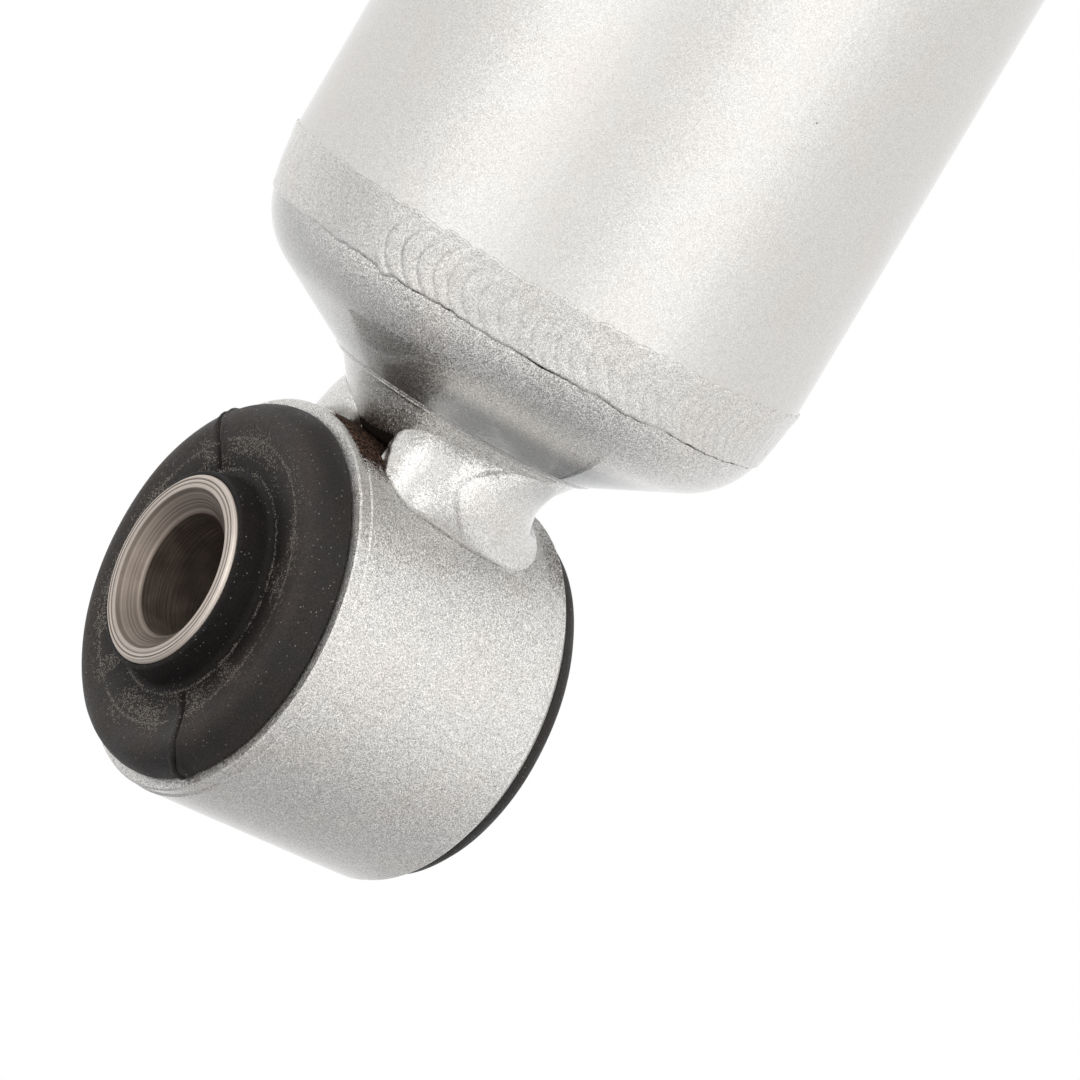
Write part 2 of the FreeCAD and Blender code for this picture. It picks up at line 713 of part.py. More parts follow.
# Rod, its stop and its weld to the upper eye
def piston_rod():
    label = "piston_rod"
    shoulder = less(ROD_SHOULDER, ROD_END)
    chamfer = "sizes.rod_end_chamfer"
    groove = less(ROD_RADIUS, "sizes.stop_groove_depth")
    stop_middle = f"({STOP_FOOT} - {ROD_END} + sizes.rebound_stop_height / 2)"
    groove_bottom = less(stop_middle, half("stop_groove_width"))
    groove_top = total(stop_middle, half("stop_groove_width"))
    eye = less(UPPER_EYE, ROD_END)
    blank_top = less(eye, f"({EYE_RADIUS} / 2)")
    outline = [
        ("0", "0"),
        (less(SPIGOT_RADIUS, chamfer), "0"),
        (SPIGOT_RADIUS, chamfer),
        (SPIGOT_RADIUS, shoulder),
        (ROD_RADIUS, shoulder),
        (ROD_RADIUS, groove_bottom),
        (groove, groove_bottom),
        (groove, groove_top),
        (ROD_RADIUS, groove_top),
        (ROD_RADIUS, blank_top),
        ("0", blank_top),
    ]
    body = turned_body(label, outline)
    cut_cross_cylinder(body, "rod_saddle", eye, EYE_RADIUS)
    finish(body, label, ROD_END)


def rebound_stop():
    label = "rebound_stop"
    height = "sizes.rebound_stop_height"
    outer = total(ROD_RADIUS, "sizes.rebound_stop_wall")
    rib = less(ROD_RADIUS, "sizes.stop_groove_depth")
    rib_bottom = f"(({height} - sizes.stop_groove_width) / 2)"
    rib_top = f"(({height} + sizes.stop_groove_width) / 2)"
    outline = [
        (ROD_RADIUS, "0"),
        (outer, "0"),
        (outer, height),
        (ROD_RADIUS, height),
        (ROD_RADIUS, rib_top),
        (rib, rib_top),
        (rib, rib_bottom),
        (ROD_RADIUS, rib_bottom),
    ]
    finish(turned_body(label, outline), label, STOP_FOOT)


def rebound_bumper():
    label = "rebound_bumper"
    height = "sizes.rebound_bumper_height"
    bore = total(ROD_RADIUS, "sizes.rebound_bumper_clearance")
    outer = total(bore, "sizes.rebound_bumper_wall")
    body = turned_body(label, [(bore, "0"), (outer, "0"), (outer, height), (bore, height)])
    round_rings(body, label + "_rims", "sizes.rebound_bumper_rounding", [(outer, "0"), (outer, height)])
    finish(body, label, BUMPER_FOOT)


def upper_eye_weld():
    """Fillet weld around the rod, cut to the ring that it holds."""
    label = "upper_eye_weld"
    leg = "sizes.rod_weld_leg"
    foot = less(UPPER_EYE, EYE_RADIUS, leg)
    outer = total(ROD_RADIUS, leg)
    top = total(leg, f"({EYE_RADIUS} / 2)")
    toe = less(leg, "sizes.rod_weld_toe")
    outline = [(ROD_RADIUS, "0"), (outer, toe), (outer, top), (ROD_RADIUS, top)]
    body = turned_body(label, outline)
    cut_cross_cylinder(body, "weld_saddle", total(leg, EYE_RADIUS), EYE_RADIUS)
    finish(body, label, foot)


# Rod guide, seals and the closed upper end of the tube
def guide_snap_ring():
    middle = f"({BORE_RADIUS} + sizes.snap_ring_groove_depth - sizes.snap_ring_wire / 2)"
    round_ring("guide_snap_ring", "snap_ring_wire", middle, less(GUIDE_FOOT, half("snap_ring_wire")))


def rod_guide():
    label = "rod_guide"
    length = "sizes.guide_length"
    chamfer = "sizes.guide_chamfer"
    bush = total(ROD_RADIUS, "sizes.guide_bush_clearance", "sizes.guide_bush_wall")
    relief = total(ROD_RADIUS, "sizes.guide_relief_clearance")
    bush_bottom = "sizes.guide_bush_inset"
    bush_top = total(bush_bottom, "sizes.guide_bush_length")
    groove = less(BORE_RADIUS, "sizes.press_clearance", "sizes.guide_seal_section")
    groove_bottom = f"(({length} - sizes.guide_seal_groove_width) / 2)"
    groove_top = f"(({length} + sizes.guide_seal_groove_width) / 2)"
    outline = [
        (bush, "0"),
        (less(PRESSED_RADIUS, chamfer), "0"),
        (PRESSED_RADIUS, chamfer),
        (PRESSED_RADIUS, groove_bottom),
        (groove, groove_bottom),
        (groove, groove_top),
        (PRESSED_RADIUS, groove_top),
        (PRESSED_RADIUS, length),
        (relief, length),
        (relief, bush_top),
        (bush, bush_top),
    ]
    finish(turned_body(label, outline), label, GUIDE_FOOT)

    bore = total(ROD_RADIUS, "sizes.guide_bush_clearance")
    bush_length = "sizes.guide_bush_length"
    bush_outline = [(bore, "0"), (bush, "0"), (bush, bush_length), (bore, bush_length)]
    finish(turned_body("guide_bush", bush_outline), "guide_bush", total(GUIDE_FOOT, bush_bottom))

    middle = total(groove, half("guide_seal_section"))
    round_ring("guide_seal_ring", "guide_seal_section", middle, total(GUIDE_FOOT, f"({length} / 2)"))


def rod_seal():
    """Rubber seal disc with a lip that the oil pressure holds against the rod."""
    label = "rod_seal"
    height = "sizes.rod_seal_height"
    lip = total(ROD_RADIUS, "sizes.rod_seal_lip_clearance")
    lip_back = total(lip, "sizes.rod_seal_lip_width")
    groove_back = total(lip_back, "sizes.rod_seal_groove_width")
    depth = "sizes.rod_seal_groove_depth"
    outline = [
        (lip, "0"),
        (lip_back, "0"),
        (lip_back, depth),
        (groove_back, depth),
        (groove_back, "0"),
        (PRESSED_RADIUS, "0"),
        (PRESSED_RADIUS, height),
        (lip, height),
    ]
    finish(turned_body(label, outline), label, SEAL_FOOT)


def end_closure():
    """Steel washer under the rolled edge of the tube, with the rod wiper standing in its bore."""
    thickness = "sizes.end_washer_thickness"
    washer = disc_ring("end_washer", PRESSED_RADIUS, WIPER_RADIUS, thickness, WASHER_FOOT)
    finish(washer, "end_washer", WASHER_FOOT)

    label = "rod_wiper"
    height = "sizes.rod_wiper_height"
    bore = total(ROD_RADIUS, "sizes.rod_wiper_clearance")
    tip = total(bore, "sizes.rod_wiper_tip_width")
    outline = [(bore, "0"), (WIPER_RADIUS, "0"), (WIPER_RADIUS, thickness), (tip, height), (bore, height)]
    finish(turned_body(label, outline), label, WASHER_FOOT)


cup = base_cup()
tube = cylinder_tube()
base_weld_bead(cup, tube)
lower_eye_weld(cup)
for end_name, eye_height in (("lower", LOWER_EYE), ("upper", UPPER_EYE)):
    eye_ring(f"{end_name}_eye_ring", eye_height)
    bush_rubber(f"{end_name}_bush_rubber", eye_height)
    bush_sleeve(f"{end_name}_bush_sleeve", eye_height)
floating_piston()
piston()
shim_stack("compression_shims", "compression_shim_count", COMPRESSION_SHIM_FOOT, False)
shim_stack("rebound_shims", "rebound_shim_count", REBOUND_SHIM_FOOT, True)
backing_washer("compression_backing_washer", COMPRESSION_WASHER_FOOT)
backing_washer("rebound_backing_washer", REBOUND_WASHER_FOOT)
piston_nut()
piston_rod()
rebound_stop()
rebound_bumper()
upper_eye_weld()
guide_snap_ring()
rod_guide()
rod_seal()
end_closure()
doc.recompute()

for item in doc.Objects:
    if "Invalid" in item.State or "Error" in item.State:
        raise RuntimeError(f"{item.Name} failed: {item.State}")
for piece in pieces:
    if piece.Shape.isNull() or not piece.Shape.isValid():
        raise RuntimeError(f"{piece.Label} has no valid shape")

os.makedirs("parts", exist_ok=True)
for piece in pieces:
    piece.Shape.exportStep(f"parts/{piece.Label}.step")
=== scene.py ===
import json
import math

import bmesh
import bpy
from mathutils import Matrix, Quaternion, Vector, noise


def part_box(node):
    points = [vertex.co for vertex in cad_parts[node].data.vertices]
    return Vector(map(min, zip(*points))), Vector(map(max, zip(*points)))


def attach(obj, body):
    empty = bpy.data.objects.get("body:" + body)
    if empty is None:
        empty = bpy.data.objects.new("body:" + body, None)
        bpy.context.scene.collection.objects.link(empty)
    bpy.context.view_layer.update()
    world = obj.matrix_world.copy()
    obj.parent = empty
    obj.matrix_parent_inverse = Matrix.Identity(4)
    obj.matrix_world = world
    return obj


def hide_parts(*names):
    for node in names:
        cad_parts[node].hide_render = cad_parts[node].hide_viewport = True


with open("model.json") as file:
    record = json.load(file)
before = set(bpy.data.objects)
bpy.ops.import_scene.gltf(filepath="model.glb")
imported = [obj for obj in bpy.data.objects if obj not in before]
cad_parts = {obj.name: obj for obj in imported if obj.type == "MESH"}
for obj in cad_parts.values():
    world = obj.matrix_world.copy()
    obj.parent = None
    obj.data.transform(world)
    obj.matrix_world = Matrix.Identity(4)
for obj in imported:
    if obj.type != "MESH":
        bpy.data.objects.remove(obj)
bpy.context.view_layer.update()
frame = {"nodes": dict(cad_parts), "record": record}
nodes = frame["nodes"]

# Shapes are written in millimetres and become metres when their mesh is made.
# The places of the camera and the stage and the grain of the materials are written in metres.
# Angles around an eye run from +Z towards +X, and angles around the tube from +X towards +Y.
MM = 0.001
X_AXIS, Y_AXIS, Z_AXIS = range(3)


def node_span(node, axis):
    """Lowest and highest place of a solid along an axis."""
    return [(corner / MM)[axis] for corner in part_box(node)]


def node_radius(node, axis):
    low, high = node_span(node, axis)
    return (high - low) / 2


def node_middle(node, axis):
    low, high = node_span(node, axis)
    return (high + low) / 2


# Sizes taken from the frame
EYE_RADIUS = node_radius("lower_eye_ring", X_AXIS)
EYE_NEAR, EYE_FAR = node_span("lower_eye_ring", Y_AXIS)
RING_REACH = {"near": -EYE_NEAR, "far": EYE_FAR}
EYE_HEIGHT = {end: node_middle(end + "_eye_ring", Z_AXIS) for end in ("lower", "upper")}
RUBBER_RADIUS = node_radius("lower_bush_rubber", X_AXIS)
RUBBER_REACH = node_radius("lower_bush_rubber", Y_AXIS)
SLEEVE_RADIUS = node_radius("lower_bush_sleeve", X_AXIS)
SLEEVE_REACH = node_radius("lower_bush_sleeve", Y_AXIS)
BORE_RADIUS = frame["record"]["mounts"][0]["dims"]["r_mm"]
BORE_REACH = frame["record"]["mounts"][0]["dims"]["length_mm"] / 2
TUBE_RADIUS = node_radius("cylinder_tube", X_AXIS)
TUBE_FOOT, TUBE_TOP = node_span("cylinder_tube", Z_AXIS)
ROD_RADIUS = node_radius("piston_rod", X_AXIS)
BOSS_FOOT, CUP_RIM = node_span("base_cup", Z_AXIS)
WELD_FOOT, WELD_TOP = node_span("base_weld_bead", Z_AXIS)
ROD_WELD_RADIUS = node_radius("upper_eye_weld", X_AXIS)
ROD_WELD_FOOT = node_span("upper_eye_weld", Z_AXIS)[0]

# Sizes that the frame does not give
EYE_WALL = 3.0
SLEEVE_FACE_INNER = 7.4
FACE_GROOVES = (7.8, 8.15)
BOSS_FOOT_RADIUS = 8.35
NECK_RADIUS = 11.85
NECK_HEIGHT = BOSS_FOOT + 4.64
CONE_SLOPE = math.radians(28)
CUP_RADIUS = 24.4
CUP_SHOULDER = 8.0
CUP_LAND = 0.68
CUP_FLOOR = BOSS_FOOT + 8.0
SKIRT_RADIUS = 22.98
SKIRT_WALL = 2.8


def add_object(name, data):
    """New object in the scene."""
    item = bpy.data.objects.new(name, data)
    bpy.context.scene.collection.objects.link(item)
    return item


# Camera at the photograph's viewing angle
CAMERA_PLACE = (0.4138, -0.2787, 0.0735)
CAMERA_AIM = (0.00815, 0.00815, 0.01735)
CAMERA_ROLL = math.radians(30.67)
CAMERA_LENS = 192.57
CAMERA_SENSOR = 36.0
CAMERA_CLIP = 0.01


def place_camera():
    data = bpy.data.cameras.new("camera")
    data.lens = CAMERA_LENS
    data.sensor_width = CAMERA_SENSOR
    data.clip_start = CAMERA_CLIP
    camera = add_object("camera", data)
    aim = Vector(CAMERA_AIM) - Vector(CAMERA_PLACE)
    camera.location = CAMERA_PLACE
    camera.rotation_mode = "QUATERNION"
    camera.rotation_quaternion = aim.to_track_quat("-Z", "Y") @ Quaternion((0, 0, 1), CAMERA_ROLL)
    bpy.context.scene.camera = camera


# Shader building
MIX_COLOUR_INPUTS = (0, 6, 7)
MIX_COLOUR_OUTPUT = 2
NOISE_RANGE = (0.3, 0.7)
SPECK_CORE = 0.5


class Shader:
    """The nodes of a material or a world, added one at a time."""

    def __init__(self, owner):
        owner.use_nodes = True
        self.owner = owner
        self.tree = owner.node_tree
        self.tree.nodes.clear()

    def put(self, socket, value):
        """Link a socket to another node's output, or set its value."""
        if isinstance(value, bpy.types.NodeSocket):
            self.tree.links.new(value, socket)
        elif isinstance(value, tuple) and len(value) == 3 and socket.type == "RGBA":
            socket.default_value = (*value, 1.0)
        else:
            socket.default_value = value

    def add(self, kind, *inputs, settings=None, **named):
        """Add a node with its first inputs in order and others by name, and return its outputs."""
        node = self.tree.nodes.new("ShaderNode" + kind)
        for name, value in (settings or {}).items():
            setattr(node, name, value)
        for socket, value in zip(node.inputs, inputs):
            self.put(socket, value)
        for name, value in named.items():
            self.put(node.inputs[name.replace("_", " ")], value)
        return node.outputs

    def math(self, operation, *values):
        return self.add("Math", *values, settings={"operation": operation})[0]

    def times(self, first, second):
        return self.math("MULTIPLY", first, second)

    def vector_math(self, operation, *values):
        return self.add("VectorMath", *values, settings={"operation": operation})[0]

    def dot(self, first, second):
        return self.add("VectorMath", first, second, settings={"operation": "DOT_PRODUCT"})["Value"]

    def ramp(self, value, low, high, start=0.0, end=1.0):
        """Smooth step from one value to another between two limits."""
        settings = {"interpolation_type": "SMOOTHSTEP"}
        return self.add("MapRange", value, low, high, start, end, settings=settings)[0]

    def vary(self, cloud, start, end):
        """Value that runs from one limit to another as a noise does."""
        return self.ramp(cloud, *NOISE_RANGE, start, end)

    def blend(self, share, first, second, mode="MIX"):
        """Mix of two colours."""
        node = self.tree.nodes.new("ShaderNodeMix")
        node.data_type = "RGBA"
        node.blend_type = mode
        for index, value in zip(MIX_COLOUR_INPUTS, (share, first, second)):
            self.put(node.inputs[index], value)
        return node.outputs[MIX_COLOUR_OUTPUT]

    def tint(self, share, colour, factors):
        """A colour multiplied by others, as far as the share says."""
        return self.blend(share, colour, factors, "MULTIPLY")

    def place(self):
        """Position on the object, in metres."""
        return self.add("TexCoord")["Object"]

    def coordinates(self):
        return self.add("SeparateXYZ", self.place())

    def attribute(self, name):
        """Value that the mesh holds under a name, or 0 where it holds none."""
        return self.add("Attribute", settings={"attribute_name": name})["Fac"]

    def noise(self, size, detail=2.0, place=None):
        """Cloudy noise whose patches have a given size in metres."""
        return self.add("TexNoise", Vector=place or self.place(), Scale=1 / size, Detail=detail)["Fac"]

    def cells(self, size):
        """Random colour and distance from the middle of each cell."""
        outputs = self.add("TexVoronoi", Vector=self.place(), Scale=1 / size)
        return outputs["Color"], outputs["Distance"]

    def specks(self, spacing, radius, share):
        """1 on small specks, in as many of the cells as the share says."""
        colour, distance = self.cells(spacing)
        chosen = self.math("LESS_THAN", self.add("SeparateXYZ", colour)[0], share)
        edge = radius / spacing
        return self.times(chosen, self.ramp(distance, edge, SPECK_CORE * edge))

    def radius(self, first, second):
        """Distance from an axis, given the two coordinates across it."""
        squares = [self.math("POWER", value, 2.0) for value in (first, second)]
        return self.math("SQRT", self.math("ADD", *squares))

    def eye_radius(self, end):
        """Distance from the axis of an eye."""
        x, _, z = self.coordinates()
        return self.radius(x, self.math("SUBTRACT", z, EYE_HEIGHT[end] * MM))

    def ring(self, radius, middle, width):
        """1 on a ring of a given middle radius, falling to 0 at its edges."""
        away = self.math("ABSOLUTE", self.math("SUBTRACT", radius, middle))
        return self.ramp(away, width, 0.0)

    def bump(self, height, strength, distance):
        return self.add("Bump", Height=height, Strength=strength, Distance=distance)["Normal"]

    def finish(self, surface, output="OutputMaterial"):
        self.add(output, surface)
        return self.owner

    def surface(self, **inputs):
        """Finish a material whose surface has the given inputs."""
        return self.finish(self.add("BsdfPrincipled", **inputs)[0])

    def grained(self, colour, grain, roughness, relief, **others):
        """Finish a material whose roughness and relief follow a grain."""
        rough = self.vary(grain, *roughness)
        return self.surface(Base_Color=colour, Roughness=rough, Normal=self.bump(grain, *relief), **others)

    def seen_rays(self):
        """1 for camera, glossy and transmission rays, 0 for the rays that light the object."""
        path = self.add("LightPath")
        seen = self.math("MAXIMUM", path["Is Camera Ray"], path["Is Glossy Ray"])
        return self.math("MAXIMUM", seen, path["Is Transmission Ray"])


def new_shader(name):
    return Shader(bpy.data.materials.new(name))


# Stage
WHITE = (1.0, 1.0, 1.0)
BACKGROUND = 1.0
AMBIENT = 0.72
FLOOR_HEIGHT = -0.09
FLOOR_REACH = 3.0
FLOOR_COLOUR = (0.60, 0.60, 0.61)
SHADOW_MIDDLE = (0.02, -0.023, 0.0)
SHADOW_TURN = math.radians(40)
SHADOW_STRETCH = 2.0
SHADOW_REACH = (0.04, 0.15)
SOFTBOX_DISTANCE = 0.75
SOFTBOX_WIDTH = 0.54
SOFTBOX_HEIGHT = 1.0
SOFTBOX_RADIANCE = 0.90
SOFTBOX_AZIMUTHS = {"left_softbox": -71, "right_softbox": 5}


def floor():
    """Pale paper floor that keeps the shadow under the object and turns white further out; the lit paper
    ellipse, darker than the white, is itself a painted shadow zone.
    """
    mesh = bpy.data.meshes.new("floor")
    signs = ((-1, -1), (1, -1), (1, 1), (-1, 1))
    corners = [(x * FLOOR_REACH, y * FLOOR_REACH, FLOOR_HEIGHT) for x, y in signs]
    mesh.from_pydata(corners, [], [(0, 1, 2, 3)])
    plane = add_object("floor", mesh)
    shader = new_shader("floor_paper")
    from_middle = shader.vector_math("SUBTRACT", shader.place(), SHADOW_MIDDLE)
    long_way = (math.cos(SHADOW_TURN) / SHADOW_STRETCH, math.sin(SHADOW_TURN) / SHADOW_STRETCH, 0.0)
    short_way = (-math.sin(SHADOW_TURN), math.cos(SHADOW_TURN), 0.0)
    outside = shader.radius(shader.dot(from_middle, long_way), shader.dot(from_middle, short_way))
    outside = shader.ramp(outside, *SHADOW_REACH)
    paper = shader.add("BsdfDiffuse", FLOOR_COLOUR)[0]
    white = shader.add("Emission", WHITE, shader.seen_rays())[0]
    mesh.materials.append(shader.finish(shader.add("MixShader", outside, paper, white)[0]))


def world_light():
    """Even white surroundings, dimmer for the rays that light the object."""
    world = bpy.data.worlds.new("studio")
    bpy.context.scene.world = world
    shader = Shader(world)
    strength = shader.add("MapRange", shader.seen_rays(), 0.0, 1.0, AMBIENT, BACKGROUND)[0]
    shader.finish(shader.add("Background", WHITE, strength)[0], "OutputWorld")


def softbox(name, azimuth):
    """Tall soft lamp that stands on the floor and faces the tube."""
    data = bpy.data.lights.new(name, "AREA")
    data.shape = "RECTANGLE"
    data.size = SOFTBOX_WIDTH
    data.size_y = SOFTBOX_HEIGHT
    data.energy = SOFTBOX_RADIANCE * math.pi * SOFTBOX_WIDTH * SOFTBOX_HEIGHT
    lamp = add_object(name, data)
    angle = math.radians(azimuth)
    lamp.location = (
        SOFTBOX_DISTANCE * math.cos(angle),
        SOFTBOX_DISTANCE * math.sin(angle),
        FLOOR_HEIGHT + SOFTBOX_HEIGHT / 2,
    )
    lamp.rotation_euler = (math.radians(90), 0, angle + math.radians(90))


# Silver paint; here and below, a pair of colours holds the two that a noise blends
FLAKE_SIZE = 0.000065
PAINT_COLOUR = (0.690, 0.677, 0.656)
WARM_TINT = (1.0, 0.975, 0.955)
SHADE_TINT = (0.38, 0.40, 0.43)
# Near-black of grime and of painted shade in crevices and along weld toes
GRIME_AND_SHADE_COLOUR = (0.018, 0.013, 0.010)
RUST_COLOURS = ((0.010, 0.006, 0.005), (0.135, 0.078, 0.054))
STAIN_RANGE = (0.42, 0.75)
RUST_RANGE = (0.38, 0.66)
DIRT_AND_SHADE_EDGE = (0.95, 1.1)
DIRT_AND_SHADE_ROUGHNESS = 0.8
PAINT_GLOSS = 0.5
DIRT_AND_SHADE_GLOSS = 0.1


def flake_normal(shader, colour, tilt):
    """Surface normal that leans a little another way on each metal flake."""
    lean = shader.vector_math("SUBTRACT", colour, (0.5, 0.5, 0.5))
    lean = shader.add("VectorMath", lean, settings={"operation": "SCALE"}, Scale=tilt)[0]
    normal = shader.vector_math("ADD", shader.add("NewGeometry")["Normal"], lean)
    return shader.vector_math("NORMALIZE", normal)


def silver_paint(name, contrast, tilt, roughness):
    """Metal flake paint under a glossy clear coat, darkened where the mesh says so by rust, by grime mixed
    with painted crevice shade and by painted shade.
    """
    shader = new_shader(name)
    flake, _ = shader.cells(FLAKE_SIZE)
    value, speckle, _ = shader.add("SeparateXYZ", flake)
    # The first mesh value is grime together with painted crevice shade, and the third is painted shade; real
    # dark specks join the first
    grime_and_shade, rust, shade = [shader.attribute(kind) for kind in ("grime_and_shade", "rust", "shade")]
    broken = shader.times(shader.math("ADD", shader.noise(size=0.0006, detail=4.0), speckle), 0.5)
    grime_and_shade = shader.ramp(shader.math("ADD", grime_and_shade, broken), *DIRT_AND_SHADE_EDGE)
    grime_and_shade = shader.math("MAXIMUM", grime_and_shade, shader.specks(spacing=0.006, radius=0.00009, share=0.3))
    rust = shader.ramp(shader.math("ADD", rust, broken), *DIRT_AND_SHADE_EDGE)
    dark, light = [tuple(part * (1 + sign * contrast) for part in PAINT_COLOUR) for sign in (-1, 1)]
    colour = shader.blend(value, dark, light)
    stain = shader.ramp(shader.noise(size=0.007, detail=4.0), *STAIN_RANGE)
    colour = shader.tint(stain, colour, WARM_TINT)
    # Painted shade: the mesh's shade value darkens the paint towards the shade tint
    colour = shader.tint(shade, colour, SHADE_TINT)
    rust_share = shader.ramp(shader.noise(size=0.00028, detail=4.0), *RUST_RANGE)
    colour = shader.blend(rust, colour, shader.blend(rust_share, *RUST_COLOURS))
    colour = shader.blend(grime_and_shade, colour, GRIME_AND_SHADE_COLOUR)
    dirt_and_shade = shader.math("MAXIMUM", grime_and_shade, rust)
    unmarked = shader.math("SUBTRACT", 1.0, dirt_and_shade)
    return shader.surface(
        Base_Color=colour,
        Metallic=unmarked,
        Roughness=shader.ramp(dirt_and_shade, 0.0, 1.0, roughness, DIRT_AND_SHADE_ROUGHNESS),
        Normal=flake_normal(shader, flake, tilt),
        Specular_IOR_Level=shader.ramp(dirt_and_shade, 0.0, 1.0, PAINT_GLOSS, DIRT_AND_SHADE_GLOSS),
        Coat_Weight=unmarked,
        Coat_Roughness=0.04,
        Coat_IOR=1.3,
        Coat_Normal=shader.bump(shader.noise(size=0.0012), strength=0.15, distance=0.00005),
    )


# Rubber of the bushes, with distances from the axis of the eye and rings as a radius and a width
RUBBER_COLOURS = ((0.0085, 0.0078, 0.0078), (0.057, 0.045, 0.0385))
DUST_COLOUR = (0.34, 0.31, 0.275)
BROWN_RADII = (0.0100, 0.0142)
RIM_RADII = (0.0165, 0.0152)
GLOSS_RADII = (0.0100, 0.0150)
DUST_RINGS = ((0.0131, 0.00028), (0.0103, 0.0003))
HAZE_RING = (0.0122, 0.0026)
HAZE_SHARE = 0.8
HAZE_PATCHES = (0.46, 0.66)
DUST_PATCHES = (0.28, 0.52)
STRAY_DUST = 0.014
DUST_COVER = 0.9
DUST_GRAIN = 0.00008


def bush_rubber(end):
    """Moulded rubber, black around the collar and browned further out, with rings of fine dust."""
    shader = new_shader(end + "_bush_rubber")
    radius = shader.eye_radius(end)
    cloud = shader.noise(size=0.0035, detail=5.0)
    grain = shader.noise(size=0.00016, detail=3.0)
    outer = shader.ramp(radius, *BROWN_RADII, 0.22, 0.85)
    outer = shader.times(outer, shader.ramp(radius, *RIM_RADII, 0.45, 1.0))
    brown = shader.times(outer, shader.vary(cloud, 0.45, 1.1))
    brown = shader.times(brown, shader.vary(grain, 0.3, 1.7))
    colour = shader.blend(brown, *RUBBER_COLOURS)
    rings = [shader.ring(radius, *ring) for ring in DUST_RINGS]
    haze = shader.times(shader.ring(radius, *HAZE_RING), HAZE_SHARE)
    haze = shader.times(haze, shader.ramp(cloud, *HAZE_PATCHES))
    density = shader.math("MAXIMUM", shader.math("MAXIMUM", *rings), haze)
    density = shader.times(density, shader.ramp(cloud, *DUST_PATCHES))
    density = shader.math("ADD", density, STRAY_DUST)
    fine_dust = shader.specks(spacing=0.00013, radius=DUST_GRAIN, share=density)
    coarse_dust = shader.specks(spacing=0.0006, radius=DUST_GRAIN, share=0.07)
    dust = shader.math("MAXIMUM", shader.times(fine_dust, DUST_COVER), coarse_dust)
    return shader.surface(
        Base_Color=shader.blend(dust, colour, DUST_COLOUR),
        Roughness=shader.vary(cloud, 0.44, 0.6),
        Specular_IOR_Level=shader.ramp(radius, *GLOSS_RADII, 0.14, 0.33),
        Normal=shader.bump(grain, strength=0.8, distance=0.00016),
    )


# Steel of the sleeves
FACE_COLOURS = ((0.38, 0.325, 0.285), (0.72, 0.64, 0.575))
COUNTERSINK_COLOURS = ((0.165, 0.134, 0.112), (0.31, 0.259, 0.219))
GROOVE_SHADE_COLOUR = (0.13, 0.105, 0.088)
GROOVE_SHADE_WIDTH = 0.00009
OXIDE_COLOURS = ((0.085, 0.066, 0.053), (0.29, 0.232, 0.185))
PIT_COLOUR = (0.05, 0.038, 0.03)
FACE_EDGE = [(SLEEVE_FACE_INNER + away) * MM for away in (-0.15, 0.05)]
OXIDE_EDGE = [(BORE_RADIUS + away) * MM for away in (0.25, 0.02)]
TURNING_RANGE = (0.32, 0.68)
TURNING_STRETCH = 0.6


def sleeve_steel(end):
    """Turned steel with fine rings and painted shade in its face grooves, darker and browner in the
    countersink, and darkened by oxide in the bore.
    """
    shader = new_shader(end + "_sleeve_steel")
    radius = shader.eye_radius(end)
    along = shader.times(shader.coordinates()[Y_AXIS], TURNING_STRETCH)
    rings_at = shader.add("CombineXYZ", radius, along, 0.0)[0]
    rings = shader.ramp(shader.noise(size=0.00018, place=rings_at), *TURNING_RANGE)
    cloud = shader.noise(size=0.002, detail=3.0)
    polished = shader.blend(rings, *FACE_COLOURS)
    darker_zone = shader.blend(rings, *COUNTERSINK_COLOURS)
    colour = shader.blend(shader.ramp(radius, *FACE_EDGE), darker_zone, polished)
    # Painted shade in the two face grooves
    for groove in FACE_GROOVES:
        line = shader.ring(radius, groove * MM, GROOVE_SHADE_WIDTH)
        colour = shader.blend(line, colour, GROOVE_SHADE_COLOUR)
    inside = shader.ramp(radius, *OXIDE_EDGE)
    colour = shader.blend(inside, colour, shader.blend(cloud, *OXIDE_COLOURS))
    pits = shader.specks(spacing=0.0007, radius=0.00006, share=0.3)
    return shader.surface(
        Base_Color=shader.blend(pits, colour, PIT_COLOUR),
        Metallic=shader.ramp(inside, 0.0, 1.0, 0.9, 0.35),
        Roughness=shader.vary(cloud, 0.36, 0.5),
        Normal=shader.bump(rings, strength=0.35, distance=0.00008),
    )


# Materials of the rod and the inner pieces
CHROME_COLOURS = ((0.66, 0.66, 0.67), (0.76, 0.76, 0.77))
GRINDING_STRETCH = 0.05
TEMPER_COLOURS = ((0.30, 0.34, 0.44), (0.46, 0.40, 0.30))
IRON_COLOURS = ((0.16, 0.16, 0.165), (0.34, 0.34, 0.345))
PORE_COLOUR = (0.03, 0.03, 0.03)
BAND_COLOURS = ((0.20, 0.13, 0.065), (0.36, 0.25, 0.14))
SEAL_COLOURS = ((0.016, 0.016, 0.017), (0.045, 0.044, 0.043))


def rod_chrome():
    """Ground hard chrome with a faint film of oil."""
    shader = new_shader("rod_chrome")
    x, y, z = shader.coordinates()
    across = [shader.times(side, GRINDING_STRETCH) for side in (x, y)]
    marks = shader.noise(size=0.00012, detail=3.0, place=shader.add("CombineXYZ", *across, z)[0])
    film = shader.noise(size=0.012, detail=3.0)
    return shader.surface(
        Base_Color=shader.blend(film, *CHROME_COLOURS),
        Metallic=1.0,
        Roughness=shader.vary(film, 0.09, 0.17),
        Normal=shader.bump(marks, strength=0.05, distance=0.00002),
    )


